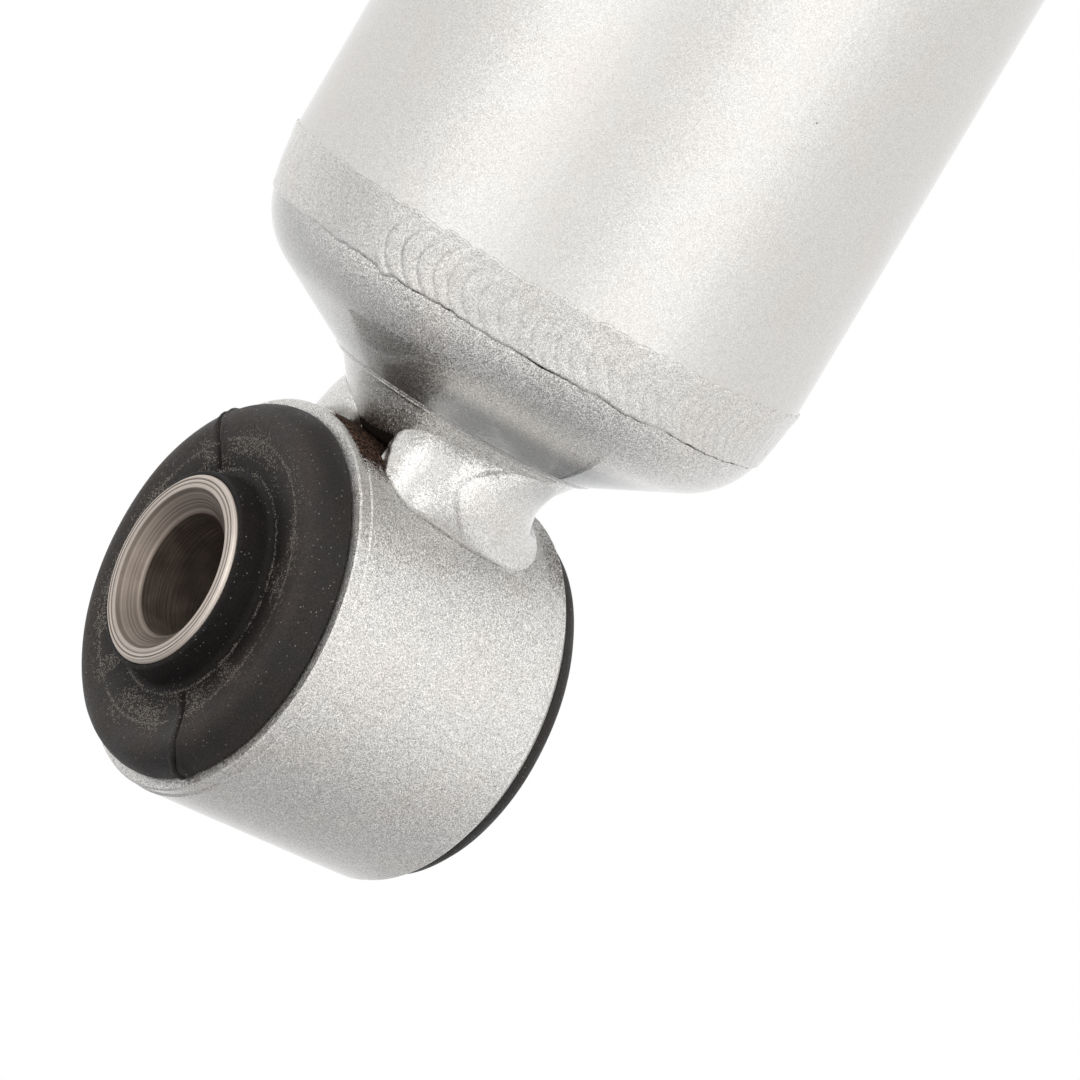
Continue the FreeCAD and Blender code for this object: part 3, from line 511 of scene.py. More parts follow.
def turned_metal(name, dark, light, roughness):
    """Metal turned about the rod's axis, with fine rings on its faces and sides."""
    shader = new_shader(name)
    x, y, z = shader.coordinates()
    rings_at = shader.add("CombineXYZ", shader.radius(x, y), z, 0.0)[0]
    rings = shader.noise(size=0.00025, place=rings_at)
    cloud = shader.noise(size=0.005, detail=3.0)
    return shader.surface(
        Base_Color=shader.blend(shader.times(rings, cloud), dark, light),
        Metallic=1.0,
        Roughness=shader.vary(cloud, roughness - 0.06, roughness + 0.08),
        Normal=shader.bump(rings, strength=0.25, distance=0.00008),
    )


def spring_steel():
    """Tempered steel with straw and blue tints."""
    shader = new_shader("shim_steel")
    colour = shader.blend(shader.ramp(shader.noise(size=0.004), 0.35, 0.65), *TEMPER_COLOURS)
    scratches = shader.noise(size=0.0003, detail=4.0)
    return shader.grained(colour, scratches, roughness=(0.22, 0.36), relief=(0.1, 0.00003), Metallic=1.0)


def sintered_iron():
    """Pressed iron powder, grey and finely porous."""
    shader = new_shader("sintered_iron")
    grain = shader.noise(size=0.0003, detail=4.0)
    pores = shader.specks(spacing=0.0005, radius=0.0001, share=0.5)
    colour = shader.blend(pores, shader.blend(grain, *IRON_COLOURS), PORE_COLOUR)
    return shader.grained(colour, grain, roughness=(0.42, 0.6), relief=(0.35, 0.0001), Metallic=0.85)


def band_plastic():
    """Bronze-filled slide band."""
    shader = new_shader("slide_band_plastic")
    grain = shader.noise(size=0.00025, detail=4.0)
    colour = shader.blend(grain, *BAND_COLOURS)
    return shader.grained(colour, grain, roughness=(0.4, 0.55), relief=(0.15, 0.00005))


def seal_rubber():
    """Black nitrile rubber with a faint grey bloom."""
    shader = new_shader("seal_rubber")
    colour = shader.blend(shader.ramp(shader.noise(size=0.003, detail=4.0), 0.4, 0.8), *SEAL_COLOURS)
    grain = shader.noise(size=0.0002, detail=3.0)
    gloss = {"Specular_IOR_Level": 0.45}
    return shader.grained(colour, grain, roughness=(0.42, 0.58), relief=(0.2, 0.00006), **gloss)


# Mesh making
FULL_TURN = 2 * math.pi
CORNER_STEPS = 6
ARC_STEP = 0.5
SUPPORT_SHARE = 0.35
SUPPORT_ROOM = 0.4
JOIN_DISTANCE = 1e-7


def rise(value, low, high):
    """Smooth step from 0 at the lower limit to 1 at the upper one."""
    share = min(max((value - low) / (high - low), 0.0), 1.0)
    return share * share * (3 - 2 * share)


def fall(value, low, high):
    return 1 - rise(value, low, high)


def turn_step(turn, low, high):
    """Smooth step of an angle between two limits in degrees."""
    return rise(turn, math.radians(low), math.radians(high))


def hill(value, middle, width):
    return math.exp(-((value - middle) / width) ** 2)


def wobble(x, y=0.0, z=0.0):
    """Smooth noise between about -1 and 1."""
    return noise.noise(Vector((x, y, z)))


def wobble_around(circle, fineness, seed=0.0):
    """Smooth noise that closes on itself around a circle."""
    return wobble(circle.x * fineness, circle.y * fineness, seed)


def turn_between(first, second):
    """Signed angle from the second direction to the first, the short way round."""
    return (first - second + math.pi) % FULL_TURN - math.pi


def rounded_outline(corners):
    """Closed outline whose corners, each a distance across, a height and a rounding, become arcs."""
    count = len(corners)
    places = [Vector(corner[:2]) for corner in corners]
    sides = [places[(index + 1) % count] - places[index] for index in range(count)]
    half_angles = [(-sides[index - 1]).angle(sides[index]) / 2 for index in range(count)]
    reaches = [corners[index][2] / math.tan(half_angles[index]) for index in range(count)]
    rooms = [sides[index].length - reaches[index] - reaches[(index + 1) % count] for index in range(count)]
    points = []
    for index, corner in enumerate(places):
        rounding = corners[index][2]
        if rounding == 0:
            points.append(corner)
            continue
        back = -sides[index - 1].normalized()
        ahead = sides[index].normalized()
        centre = corner + (back + ahead).normalized() * rounding / math.sin(half_angles[index])
        start = corner + back * reaches[index] - centre
        end = corner + ahead * reaches[index] - centre
        before = min(SUPPORT_SHARE * rounding, SUPPORT_ROOM * rooms[index - 1])
        after = min(SUPPORT_SHARE * rounding, SUPPORT_ROOM * rooms[index])
        points.append(corner + back * (reaches[index] + before))
        steps = max(CORNER_STEPS, math.ceil(start.angle(end) * rounding / ARC_STEP))
        for step in range(steps + 1):
            points.append(centre + start.slerp(end, step / steps) * rounding)
        points.append(corner + ahead * (reaches[index] + after))
    return points


def with_extra_rows(outline, longest):
    """The same outline with its long straight stretches divided."""
    points = []
    for index, point in enumerate(outline):
        following = outline[(index + 1) % len(outline)]
        parts = max(1, math.ceil((following - point).length / longest))
        points += [point.lerp(following, part / parts) for part in range(parts)]
    return points


def even_angles(count):
    return [FULL_TURN * index / count for index in range(count)]


def refined_angles(count, middles, radius, reach, step):
    """Even angles around a ring, much closer together beside the given ones."""
    angles = even_angles(count)
    steps = round(reach / step)
    for middle in middles:
        angles = [angle for angle in angles if abs(turn_between(angle, middle)) * radius > reach]
        angles += [(middle + index * step / radius) % FULL_TURN for index in range(-steps, steps + 1)]
    return sorted(angles)


def mesh_piece(name, node, rows, material, wrap_rows=True, values=None):
    """Piece from rows of points, each row a closed loop, in place of a solid and on the same body."""
    count = len(rows[0])
    faces = []
    for index in range(len(rows) if wrap_rows else len(rows) - 1):
        first = index * count
        second = (index + 1) % len(rows) * count
        for column in range(count):
            following = (column + 1) % count
            faces.append((first + column, first + following, second + following, second + column))
    mesh = bpy.data.meshes.new(name)
    mesh.from_pydata([Vector(point) * MM for row in rows for point in row], [], faces)
    for attribute, numbers in (values or {}).items():
        layer = mesh.attributes.new(attribute, "FLOAT", "POINT")
        layer.data.foreach_set("value", [number for row in numbers for number in row])
    editing = bmesh.new()
    editing.from_mesh(mesh)
    bmesh.ops.remove_doubles(editing, verts=editing.verts, dist=JOIN_DISTANCE)
    bmesh.ops.recalc_face_normals(editing, faces=editing.faces)
    editing.to_mesh(mesh)
    editing.free()
    mesh.shade_smooth()
    mesh.materials.append(material)
    piece = add_object(name, mesh)
    bodies = frame["record"]["behaviour"]["bodies"]
    body = next(carrier for carrier, members in bodies.items() if node in members)
    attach(piece, body)
    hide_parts(node)


def eye_rows(outline, angles, end, carve=None):
    """Rows of an outline turned about the axis of an eye."""
    height = EYE_HEIGHT[end]
    rows = []
    for across, along in outline:
        row = []
        for angle in angles:
            radius, depth = carve(across, along, angle) if carve else (across, along)
            row.append((radius * math.sin(angle), depth, height + radius * math.cos(angle)))
        rows.append(row)
    return rows


def both_ends(corners_of):
    """Closed outline of a piece whose two ends have their corners given as reach from its middle."""
    near = [(across, -reach, rounding) for across, reach, rounding in corners_of("near")]
    return rounded_outline(near + corners_of("far")[::-1])


def upright_rows(outline, steps):
    """Rows of an outline turned about the axis of the rod."""
    circle = [(math.cos(angle), math.sin(angle)) for angle in even_angles(steps)]
    return [[(radius * x, radius * y, height) for x, y in circle] for radius, height in outline]


# Eye rings
RING_LIP_DEPTH = 0.15
RING_LIP_WIDTH = 1.1
RING_CHAMFER = {"near": 0.15, "far": 0.7}
RING_FACE_ROUNDING = {"near": 0.06, "far": 0.2}
RING_SIDE_ROUNDING = {"near": 0.06, "far": 0.25}
RING_BORE_ROUNDING = 0.15
RING_LIP_ROUNDING = 0.05
RING_STEP_ROUNDING = 0.08
RING_STEPS = 192
RING_ROW = 1.2
RUST_LEVEL = 1.05
RUST_LEFT_EDGE = (-2.2, -0.2)
LIP_RUST = 0.08
LIP_RUST_EDGE = (EYE_NEAR + 0.2, EYE_NEAR + RING_LIP_WIDTH + 0.3)
NEAR_RUST_END = (-6.0, -2.0)
NEAR_RUST_RIGHT = (4.5, 11.0)
FAR_RUST = 0.46
FAR_RUST_START = (7.5, 10.5)
FAR_RUST_RIGHT = (9.0, 15.0)


def crevice_rust(end, point):
    """How bare and rusty the ring is: under the boss of the lower eye, beyond the ends of the weld beads."""
    x, y, z = point
    if end == "upper" or z < 0:
        return 0.0
    right = rise(x, *RUST_LEFT_EDGE)
    near = LIP_RUST + (1 - LIP_RUST) * rise(y, *LIP_RUST_EDGE)
    near *= fall(y, *NEAR_RUST_END) * fall(x, *NEAR_RUST_RIGHT)
    far = FAR_RUST * rise(y, *FAR_RUST_START) * fall(x, *FAR_RUST_RIGHT)
    return RUST_LEVEL * right * max(near, far)


def ring_corners(side):
    """Corners of one end of the ring, from its bore to its outer wall, as reach from the eye's middle."""
    face = RING_REACH[side]
    lip = EYE_RADIUS - RING_LIP_DEPTH
    chamfer = RING_CHAMFER[side]
    return [
        (EYE_RADIUS - EYE_WALL, face, RING_BORE_ROUNDING),
        (lip - chamfer, face, RING_FACE_ROUNDING[side]),
        (lip, face - chamfer, RING_SIDE_ROUNDING[side]),
        (lip, face - RING_LIP_WIDTH, RING_LIP_ROUNDING),
        (EYE_RADIUS, face - RING_LIP_WIDTH - RING_LIP_DEPTH, RING_STEP_ROUNDING),
    ]


def eye_ring(end, material):
    """Turned ring with a chamfer and a shallow lip at each end, rusty where the weld shades it from paint."""
    outline = with_extra_rows(both_ends(ring_corners), RING_ROW)
    rows = eye_rows(outline, even_angles(RING_STEPS), end)
    values = {"rust": [[crevice_rust(end, point) for point in row] for row in rows]}
    mesh_piece(end + "_ring", end + "_eye_ring", rows, material, values=values)


# Rubber bushes
FLANGE_THICKNESS = {"near": 3.4, "far": 2.2}
FLANGE_ROUNDING = {"near": 2.6, "far": 1.6}
FLANGE_BEVEL = (0.35, 0.25)
FLANGE_BEVEL_ROUNDINGS = (0.15, 0.1)
FLANGE_DISH = 0.75
FLANGE_CROWN = 0.05
COLLAR_CLEARANCE = 0.05
COLLAR_TOP_WIDTH = 0.4
COLLAR_FOOT_WIDTH = 0.9
COLLAR_ROUNDINGS = (0.08, 0.25, 0.7)
RUBBER_ROW = 0.4
RUBBER_STEPS = 200
UNEVENNESS = 0.06

# Moulding seams, each as an angle at its inner end, a lean and a bend, all in degrees
SLITS = ((-34.7, -6.1, 0.0), (139.8, -14.5, 18.8))
SLIT_MIDDLES = (math.radians(-38.0), math.radians(140.5))
SLIT_DEPTH = 0.7
SLIT_WIDTH = 0.27
SLIT_LIP = 0.07
SLIT_FLAP = 0.35
SLIT_DRIFT = 0.16
SLIT_FINE_DRIFT = 0.08
SLIT_INNER_RADIUS = 10.2
SLIT_START = (0.0, 0.12)
SLIT_RIM = (15.8, 17.0)
SLIT_MESH_RADIUS = 14.0
SLIT_MESH_REACH = 1.4
SLIT_MESH_STEP = 0.07


def bush_corners(side):
    """Corners of one end of the bush, from the collar to the ring, as reach from the eye's middle."""
    bore = SLEEVE_RADIUS + COLLAR_CLEARANCE
    ring_end = RING_REACH[side]
    face = ring_end + FLANGE_THICKNESS[side]
    return [
        (bore, RUBBER_REACH, COLLAR_ROUNDINGS[0]),
        (bore + COLLAR_TOP_WIDTH, RUBBER_REACH, COLLAR_ROUNDINGS[1]),
        (bore + COLLAR_FOOT_WIDTH, face - FLANGE_DISH, COLLAR_ROUNDINGS[2]),
        (RUBBER_RADIUS, face + FLANGE_CROWN, FLANGE_ROUNDING[side]),
        (RUBBER_RADIUS, ring_end + FLANGE_BEVEL[1], FLANGE_BEVEL_ROUNDINGS[0]),
        (RUBBER_RADIUS - FLANGE_BEVEL[0], ring_end, FLANGE_BEVEL_ROUNDINGS[1]),
        (EYE_RADIUS - EYE_WALL, ring_end, 0.0),
    ]


def slit_carve(radius, along, angle):
    """Moulding seams torn open across the near face, and a slight unevenness all over."""
    radius += UNEVENNESS * wobble(radius * 0.35, angle * 3.0, along * 0.3)
    if along > EYE_NEAR or radius < SLIT_INNER_RADIUS:
        return radius, along
    out = (radius - SLIT_INNER_RADIUS) / (RUBBER_RADIUS - SLIT_INNER_RADIUS)
    for start, lean, bend in SLITS:
        middle = math.radians(start + lean * out + bend * out * out)
        drift = SLIT_DRIFT * wobble(radius * 1.3, start) + SLIT_FINE_DRIFT * wobble(radius * 4.0, start + 5.0)
        away = abs(turn_between(angle, middle) * radius - drift)
        width = SLIT_WIDTH * (1 + 0.5 * wobble(radius * 1.7, start + 9.0))
        strength = rise(out, *SLIT_START)
        opening = strength * max(0.0, 1 - away / width)
        along += SLIT_DEPTH * opening - SLIT_LIP * strength * hill(away, 2 * width, width)
        at_rim = rise(radius, *SLIT_RIM)
        radius += at_rim * (SLIT_FLAP * hill(away, 1.5 * width, width) - SLIT_DEPTH * opening)
    return radius, along


def bush(end, material):
    """Rubber bush with a dished flange at each end and a collar around the sleeve."""
    outline = with_extra_rows(both_ends(bush_corners), RUBBER_ROW)
    angles = refined_angles(RUBBER_STEPS, SLIT_MIDDLES, SLIT_MESH_RADIUS, SLIT_MESH_REACH, SLIT_MESH_STEP)
    rows = eye_rows(outline, angles, end, slit_carve)
    mesh_piece(end + "_bush", end + "_bush_rubber", rows, material)


# Sleeves
SLEEVE_CHAMFER = 0.3
BORE_ROUNDING = 0.12
FACE_ROUNDING = 0.08
GROOVE_DEPTH = 0.05
GROOVE_HALF_WIDTH = 0.05
EDGE_ROUNDING = 0.05
SLEEVE_STEPS = 160


def sleeve_corners(_side):
    """Corners of either end of the sleeve, from its bore outwards, as reach from the eye's middle."""
    corners = [(BORE_RADIUS, BORE_REACH, BORE_ROUNDING), (SLEEVE_FACE_INNER, SLEEVE_REACH, FACE_ROUNDING)]
    for groove in FACE_GROOVES:
        corners += [
            (groove - GROOVE_HALF_WIDTH, SLEEVE_REACH, 0.0),
            (groove, SLEEVE_REACH - GROOVE_DEPTH, 0.0),
            (groove + GROOVE_HALF_WIDTH, SLEEVE_REACH, 0.0),
        ]
    corners += [
        (SLEEVE_RADIUS - SLEEVE_CHAMFER, SLEEVE_REACH, EDGE_ROUNDING),
        (SLEEVE_RADIUS, SLEEVE_REACH - SLEEVE_CHAMFER, EDGE_ROUNDING),
    ]
    return corners


def sleeve(end, material):
    """Steel sleeve with a countersink and two fine grooves at each end."""
    rows = eye_rows(both_ends(sleeve_corners), even_angles(SLEEVE_STEPS), end)
    mesh_piece(end + "_sleeve", end + "_bush_sleeve", rows, material)


# Pressed base, with its painted shade given by height above the neck and by angles in degrees
CUP_STEPS = 256
CUP_ROW = 0.8
BOSS_ROUNDING = 0.8
NECK_ROUNDING = 1.2
NECK_LINES = ((0.48, 0.11), (1.0, 0.09))
LINE_HALF_WIDTH = 0.16
LINE_ROUNDING = 0.04
LINE_FOOT_ROUNDING = 0.02
# Soot and painted shade in the crevice at the foot of the boss
SOOT_AND_SHADE_LEVEL = 1.2
SOOT_AND_SHADE_HEIGHT = 0.8
SOOT_AND_SHADE_LEAN = 0.1
SOOT_AND_SHADE_FADE = 0.6
SOOT_AND_SHADE_SIDES = (5.0, 6.5)
BOSS_SHADE = 0.03
NECK_FADE = (-0.3, 1.0)
RECESS_SHADE = 0.36
RECESS_RIGHT = (-60, -27)
RECESS_BACK = (130, 180)
RECESS_TOP = 2.0
RECESS_TOP_RISE = 0.3
RECESS_TOP_TURNS = (-60, -40)
RECESS_FADE = 2.2
CONE_SHADE = 0.14
CONE_SHADE_TURNS = (-40, -10)
LEFT_SHADE = 0.5
LEFT_SHADE_TURN = math.radians(-98)
LEFT_SHADE_WIDTH = math.radians(18)


def cone_point(along, out):
    """Point of the base's cone, so far up from its neck and so far out from its surface."""
    return (
        NECK_RADIUS + along * math.cos(CONE_SLOPE) + out * math.sin(CONE_SLOPE),
        NECK_HEIGHT + along * math.sin(CONE_SLOPE) - out * math.cos(CONE_SLOPE),
    )


def boss_soot_and_shade(point):
    """How much soot and painted shade darken the foot of the boss beyond the ends of the weld beads."""
    x, _, z = point
    top = BOSS_FOOT + SOOT_AND_SHADE_HEIGHT + SOOT_AND_SHADE_LEAN * x
    low = fall(z, top - SOOT_AND_SHADE_FADE, top + SOOT_AND_SHADE_FADE)
    return SOOT_AND_SHADE_LEVEL * low * fall(abs(x), *SOOT_AND_SHADE_SIDES)


def recess_shade(point):
    """How much painted shade darkens the paint down in the recess above the eye, on the cone at the right and
    at the left of the cup.
    """
    turn = math.atan2(point[1], point[0])
    up = point[2] - NECK_HEIGHT
    behind = turn_step(turn, *RECESS_BACK)
    cone = RECESS_SHADE + (1 - RECESS_SHADE) * turn_step(turn, *RECESS_RIGHT) * (1 - behind)
    top = RECESS_TOP + RECESS_TOP_RISE * turn_step(turn, *RECESS_TOP_TURNS)
    cone *= fall(up, top, top + RECESS_FADE)
    cone = max(cone, CONE_SHADE * turn_step(turn, *CONE_SHADE_TURNS) * (1 - behind))
    cone = max(cone, LEFT_SHADE * hill(turn, LEFT_SHADE_TURN, LEFT_SHADE_WIDTH))
    return BOSS_SHADE + (cone - BOSS_SHADE) * rise(up, *NECK_FADE)


def base(material):
    """Pressed cup with a tapered boss, two fine pressing lines at its neck and a rounded shoulder."""
    corner_rise = (CUP_RADIUS - NECK_RADIUS) * math.tan(CONE_SLOPE)
    inner = SKIRT_RADIUS - SKIRT_WALL
    inner_rise = (inner - NECK_RADIUS) * math.tan(CONE_SLOPE)
    corners = [
        (0.0, BOSS_FOOT, 0.0),
        (BOSS_FOOT_RADIUS, BOSS_FOOT, BOSS_ROUNDING),
        (NECK_RADIUS, NECK_HEIGHT, NECK_ROUNDING),
    ]
    for along, height in NECK_LINES:
        corners += [
            (*cone_point(along - LINE_HALF_WIDTH, 0.0), LINE_FOOT_ROUNDING),
            (*cone_point(along, height), LINE_ROUNDING),
            (*cone_point(along + LINE_HALF_WIDTH, 0.0), LINE_FOOT_ROUNDING),
        ]
    corners += [
        (CUP_RADIUS, NECK_HEIGHT + corner_rise, CUP_SHOULDER),
        (CUP_RADIUS, TUBE_FOOT, 0.0),
        (SKIRT_RADIUS, TUBE_FOOT, 0.0),
        (SKIRT_RADIUS, CUP_RIM, 0.0),
        (inner, CUP_RIM, 0.0),
        (inner, CUP_FLOOR + inner_rise, 0.0),
        (NECK_RADIUS, CUP_FLOOR, 0.0),
        (0.0, CUP_FLOOR, 0.0),
    ]
    rows = upright_rows(with_extra_rows(rounded_outline(corners), CUP_ROW), CUP_STEPS)
    values = {
        "grime_and_shade": [[boss_soot_and_shade(point) for point in row] for row in rows],
        "shade": [[recess_shade(point) for point in row] for row in rows],
    }
    mesh_piece("base", "base_cup", rows, material, values=values)


# Tube
TUBE_STEPS = 256
TUBE_ROW = 15.0
TUBE_WALL = 2.0
TUBE_BEVEL = 1.2
TUBE_BEVEL_DROP = 0.9
TUBE_LIP_WIDTH = 5.5
TUBE_LIP_BEND = 3.6
TUBE_LIP_EDGE = 0.8


def tube(material):
    """Drawn tube, bevelled under its weld, with a ring groove inside and its upper edge rolled in."""
    bore = TUBE_RADIUS - TUBE_WALL
    lip = TUBE_RADIUS - TUBE_LIP_WIDTH
    groove = node_radius("guide_snap_ring", X_AXIS)
    groove_foot, groove_top = node_span("guide_snap_ring", Z_AXIS)
    corners = [
        (bore, TUBE_FOOT, EDGE_ROUNDING),
        (TUBE_RADIUS - TUBE_BEVEL, TUBE_FOOT, EDGE_ROUNDING),
        (TUBE_RADIUS, WELD_TOP - TUBE_BEVEL_DROP, EDGE_ROUNDING),
        (TUBE_RADIUS, TUBE_TOP, TUBE_LIP_BEND),
        (lip, TUBE_TOP, TUBE_LIP_EDGE),
        (lip, TUBE_TOP - TUBE_WALL, EDGE_ROUNDING),
        (bore, TUBE_TOP - TUBE_WALL, EDGE_ROUNDING),
        (bore, groove_top, EDGE_ROUNDING),
        (groove, groove_top, EDGE_ROUNDING),
        (groove, groove_foot, EDGE_ROUNDING),
        (bore, groove_foot, EDGE_ROUNDING),
    ]
    outline = with_extra_rows(rounded_outline(corners), TUBE_ROW)
    mesh_piece("tube", "cylinder_tube", upright_rows(outline, TUBE_STEPS), material)


# Weld between tube and base, with angles from the start of the bead in radians
WELD_STEPS = 1100
WELD_ROWS = 44
WELD_NOISE_RADIUS = 6.0
WELD_START = math.radians(-66.8)
WELD_RISE = (0.0, 0.04)
WELD_FALL = (5.6, 6.1)
WELD_SWELL = 0.03
RIPPLE_PITCH = 1.6
RIPPLE_DRIFT = 0.9
RIPPLE_BULGE = 2.2
RIPPLE_HEIGHT = 0.04
RIPPLE_MEAN = 0.6
FIRST_RIPPLE_HEIGHT = 0.09
FIRST_RIPPLE_FADE = (0.15, 0.6)
RIPPLE_FLATTENING = 0.6
RIPPLE_FLAT_ROWS = (0.5, 0.8)
VALLEY_SHADE = 7
VALLEY_EDGE = (0.2, 0.6)
TOE_STEP = 0.2
TOE_GROOVE = 0.3
TOE_SETBACK = 0.25
TOE_ROUNDING = 0.3
TOE_ROUND_ROWS = (0.0, 0.06)
TOE_SAG = 0.5
TOE_SAG_TURN = 0.07
TOE_SAG_WIDTH = 0.035
TOP_STEP = 0.18
TOP_SETBACK = 0.3
TOP_SCALLOP = 0.28
WELD_SINK = 0.02
FOOT_ROOT = 1.2
FOOT_ROOT_DROP = 0.1
TOE_SINK = 0.03
TOE_DROP = 0.05
TOP_ROOT = 1.0
TOP_RISE = 0.06
START_SHADE = 0.22
START_SHADE_TURN = math.radians(-77)
START_SHADE_WIDTH = math.radians(13)
# Soot and painted crease shade along the toe of the weld
TOE_SOOT_AND_SHADE = 0.2
TOE_SOOT_AND_SHADE_GAIN = 0.5
TOE_SOOT_AND_SHADE_START = (-0.2, 0.1)
GROOVE_SOOT_AND_SHADE = 0.1
TOE_EXTRA_SOOT_AND_SHADE = 0.3
FIRST_ROW_SOOT_AND_SHADE = 0.1
SOOT_AND_SHADE_DROP = 0.2
SOOT_AND_SHADE_ROWS = 3


def cup_radius_at(height):
    """Radius of the base's shoulder at a height."""
    drop = TUBE_FOOT - CUP_LAND - height
    if drop <= 0:
        return CUP_RADIUS
    return CUP_RADIUS - CUP_SHOULDER + math.sqrt(CUP_SHOULDER ** 2 - drop ** 2)


def ripple(phase):
    """Rounded scales with narrow valleys between them."""
    return math.sqrt(abs(math.sin(math.pi * phase)))


def base_weld_section(angle):
    """Radius, height, grime with painted crease shade, and painted shade up one section of the bead around
    the tube.
    """
    circle = Vector((math.cos(angle), math.sin(angle))) * WELD_NOISE_RADIUS
    since_start = (angle - WELD_START) % FULL_TURN
    early = fall(since_start, *FIRST_RIPPLE_FADE)
    ripples = RIPPLE_HEIGHT + (FIRST_RIPPLE_HEIGHT - RIPPLE_HEIGHT) * early
    strength = rise(since_start, *WELD_RISE) * fall(since_start, *WELD_FALL)
    turn = angle * TUBE_RADIUS / RIPPLE_PITCH + RIPPLE_DRIFT * wobble_around(circle, 0.8, 11.0)
    foot = WELD_FOOT + TOE_SETBACK + 0.22 * wobble_around(circle, 1) + 0.15 * wobble_around(circle, 4, 3.0)
    foot -= TOE_SAG * hill(since_start, TOE_SAG_TURN, TOE_SAG_WIDTH)
    top = WELD_TOP - TOP_SETBACK + 0.3 * wobble_around(circle, 2, 7.0)
    top += TOP_SCALLOP * strength * (ripple(turn) - RIPPLE_MEAN)
    # Painted shade in the valleys between the scales, and a darker patch near the start of the bead
    darker_zone = START_SHADE * hill(turn_between(angle, START_SHADE_TURN), 0.0, START_SHADE_WIDTH)
    toe_soot_and_shade = TOE_SOOT_AND_SHADE + TOE_SOOT_AND_SHADE_GAIN * rise(turn_between(angle, WELD_START), *TOE_SOOT_AND_SHADE_START)
    toe_soot_and_shade += 0.5 * wobble_around(circle, 1.6, 21.0)
    cup = cup_radius_at(foot)
    section = [
        (cup - FOOT_ROOT, foot - FOOT_ROOT_DROP, 0.0, 0.0),
        (cup_radius_at(foot - TOE_GROOVE) - WELD_SINK, foot - TOE_GROOVE, GROOVE_SOOT_AND_SHADE, 0.0),
        (cup - TOE_SINK, foot - TOE_DROP, toe_soot_and_shade + TOE_EXTRA_SOOT_AND_SHADE, 0.0),
    ]
    for row in range(WELD_ROWS + 1):
        share = row / WELD_ROWS
        height = foot + (top - foot) * share
        middle = 1 - (2 * share - 1) ** 2
        radius = cup + TOE_STEP + (TUBE_RADIUS + TOP_STEP - cup - TOE_STEP) * share + WELD_SWELL * middle
        radius -= TOE_ROUNDING * fall(share, *TOE_ROUND_ROWS)
        scale = ripple(turn + RIPPLE_BULGE * middle / RIPPLE_PITCH)
        lower = strength * (1 - RIPPLE_FLATTENING * rise(share, *RIPPLE_FLAT_ROWS))
        radius += ripples * lower * (scale - RIPPLE_MEAN)
        radius += 0.007 * wobble_around(circle, 10, height * 2.5)
        radius += 0.045 * wobble_around(circle, 3, height * 0.8 + 30.0)
        grime_and_shade = toe_soot_and_shade + FIRST_ROW_SOOT_AND_SHADE - SOOT_AND_SHADE_DROP * row if row < SOOT_AND_SHADE_ROWS else 0.0
        valley = darker_zone + VALLEY_SHADE * ripples * lower * fall(scale, *VALLEY_EDGE)
        section.append((radius, height, grime_and_shade, valley))
    section.append((TUBE_RADIUS - WELD_SINK, top + TOP_RISE, 0.0, 0.0))
    section.append((TUBE_RADIUS - TOP_ROOT, top, 0.0, 0.0))
    return section


def base_weld(material):
    """Weld bead around the tube with overlapping scales and a ragged lower edge."""
    angles = even_angles(WELD_STEPS)
    rows = []
    values = {"grime_and_shade": [], "shade": []}
    for line in zip(*[base_weld_section(angle) for angle in angles]):
        radii, heights, grimes_and_shades, shades = zip(*line)
        circle = zip(angles, radii, heights)
        rows.append([(radius * math.cos(angle), radius * math.sin(angle), z) for angle, radius, z in circle])
        values["grime_and_shade"].append(grimes_and_shades)
        values["shade"].append(shades)
    mesh_piece("base_weld", "base_weld_bead", rows, material, values=values)


# Weld between base and lower eye, with ranges as shares of a bead's length or width
BEAD_STEPS = 200
BEAD_ROWS = 48
BEAD_START_TURN = math.radians(-62)
BEAD_ENDS = (-9.3, 9.2)
BEAD_LENGTH = BEAD_ENDS[1] - BEAD_ENDS[0]
LIP_HEIGHT = 0.16
LIP_RISE = (0.5, 0.9)
LIP_FALL = (0.94, 1.0)
LIP_END = (0.6, 0.8)
NEAR_END_SETBACK = 0.7
NEAR_END_LENGTH = 0.03
NEAR_CLOSING = 0.19
BOSS_FAR_CLOSING = 0.45
RING_FAR_CLOSING = 0.27
BOSS_CLIMB = 3.2
BOSS_CLIMB_STEPS = ((0.1, 0.3), (0.4, 0.6))
BOSS_SINK = 0.05
RING_TOE_TURN = 35
RING_TOE_GAIN = 3.8
RING_TOE_CHANGE = (0.15, 0.6)
RING_SINK = 0.03
CREVICE_X = 4.7
CREVICE_INSET = 0.5
CREVICE_DEPTH = 0.7
CREVICE_SHARE = 0.47
START_SWELL = 1.2
SWELL_GAIN = 0.6
SWELL_RISE = (0.15, 0.33)
SWELL_CHANGE = (0.33, 0.85)
SWELL_PLACE = 0.4
LOBE_PITCH = 5.2
LOBE_PHASE = 0.36
LOBE_BOW = 3.0
LOBE_HEIGHT = 0.16
LOBE_RISE = (0.0, 0.12)
LOBES_START = (0.02, 0.3)
LOBES_END = (0.5, 0.7)
FINE_PITCH = 0.85
FINE_HEIGHT = 0.03
FINE_FADE = (0.1, 0.3)
BURIED_STEPS = 6
EDGE_SHADE = 0.5
EDGE_SHADE_START = (0.45, 0.65)
EDGE_SHADE_WIDTH = (0.1, 0.5)
TOE_SHADE = 0.5
TOE_SHADE_EDGE = (0.965, 0.985)

# Each bead's side, the angle at its far end, its extra climb there on the boss and its swell there
BEADS = {
    "eye_weld_right": (1, math.radians(68), 1.05, -2.0),
    "eye_weld_left": (-1, math.radians(90), 0.0, 1.6),
}
SHADED_BEAD = "eye_weld_right"


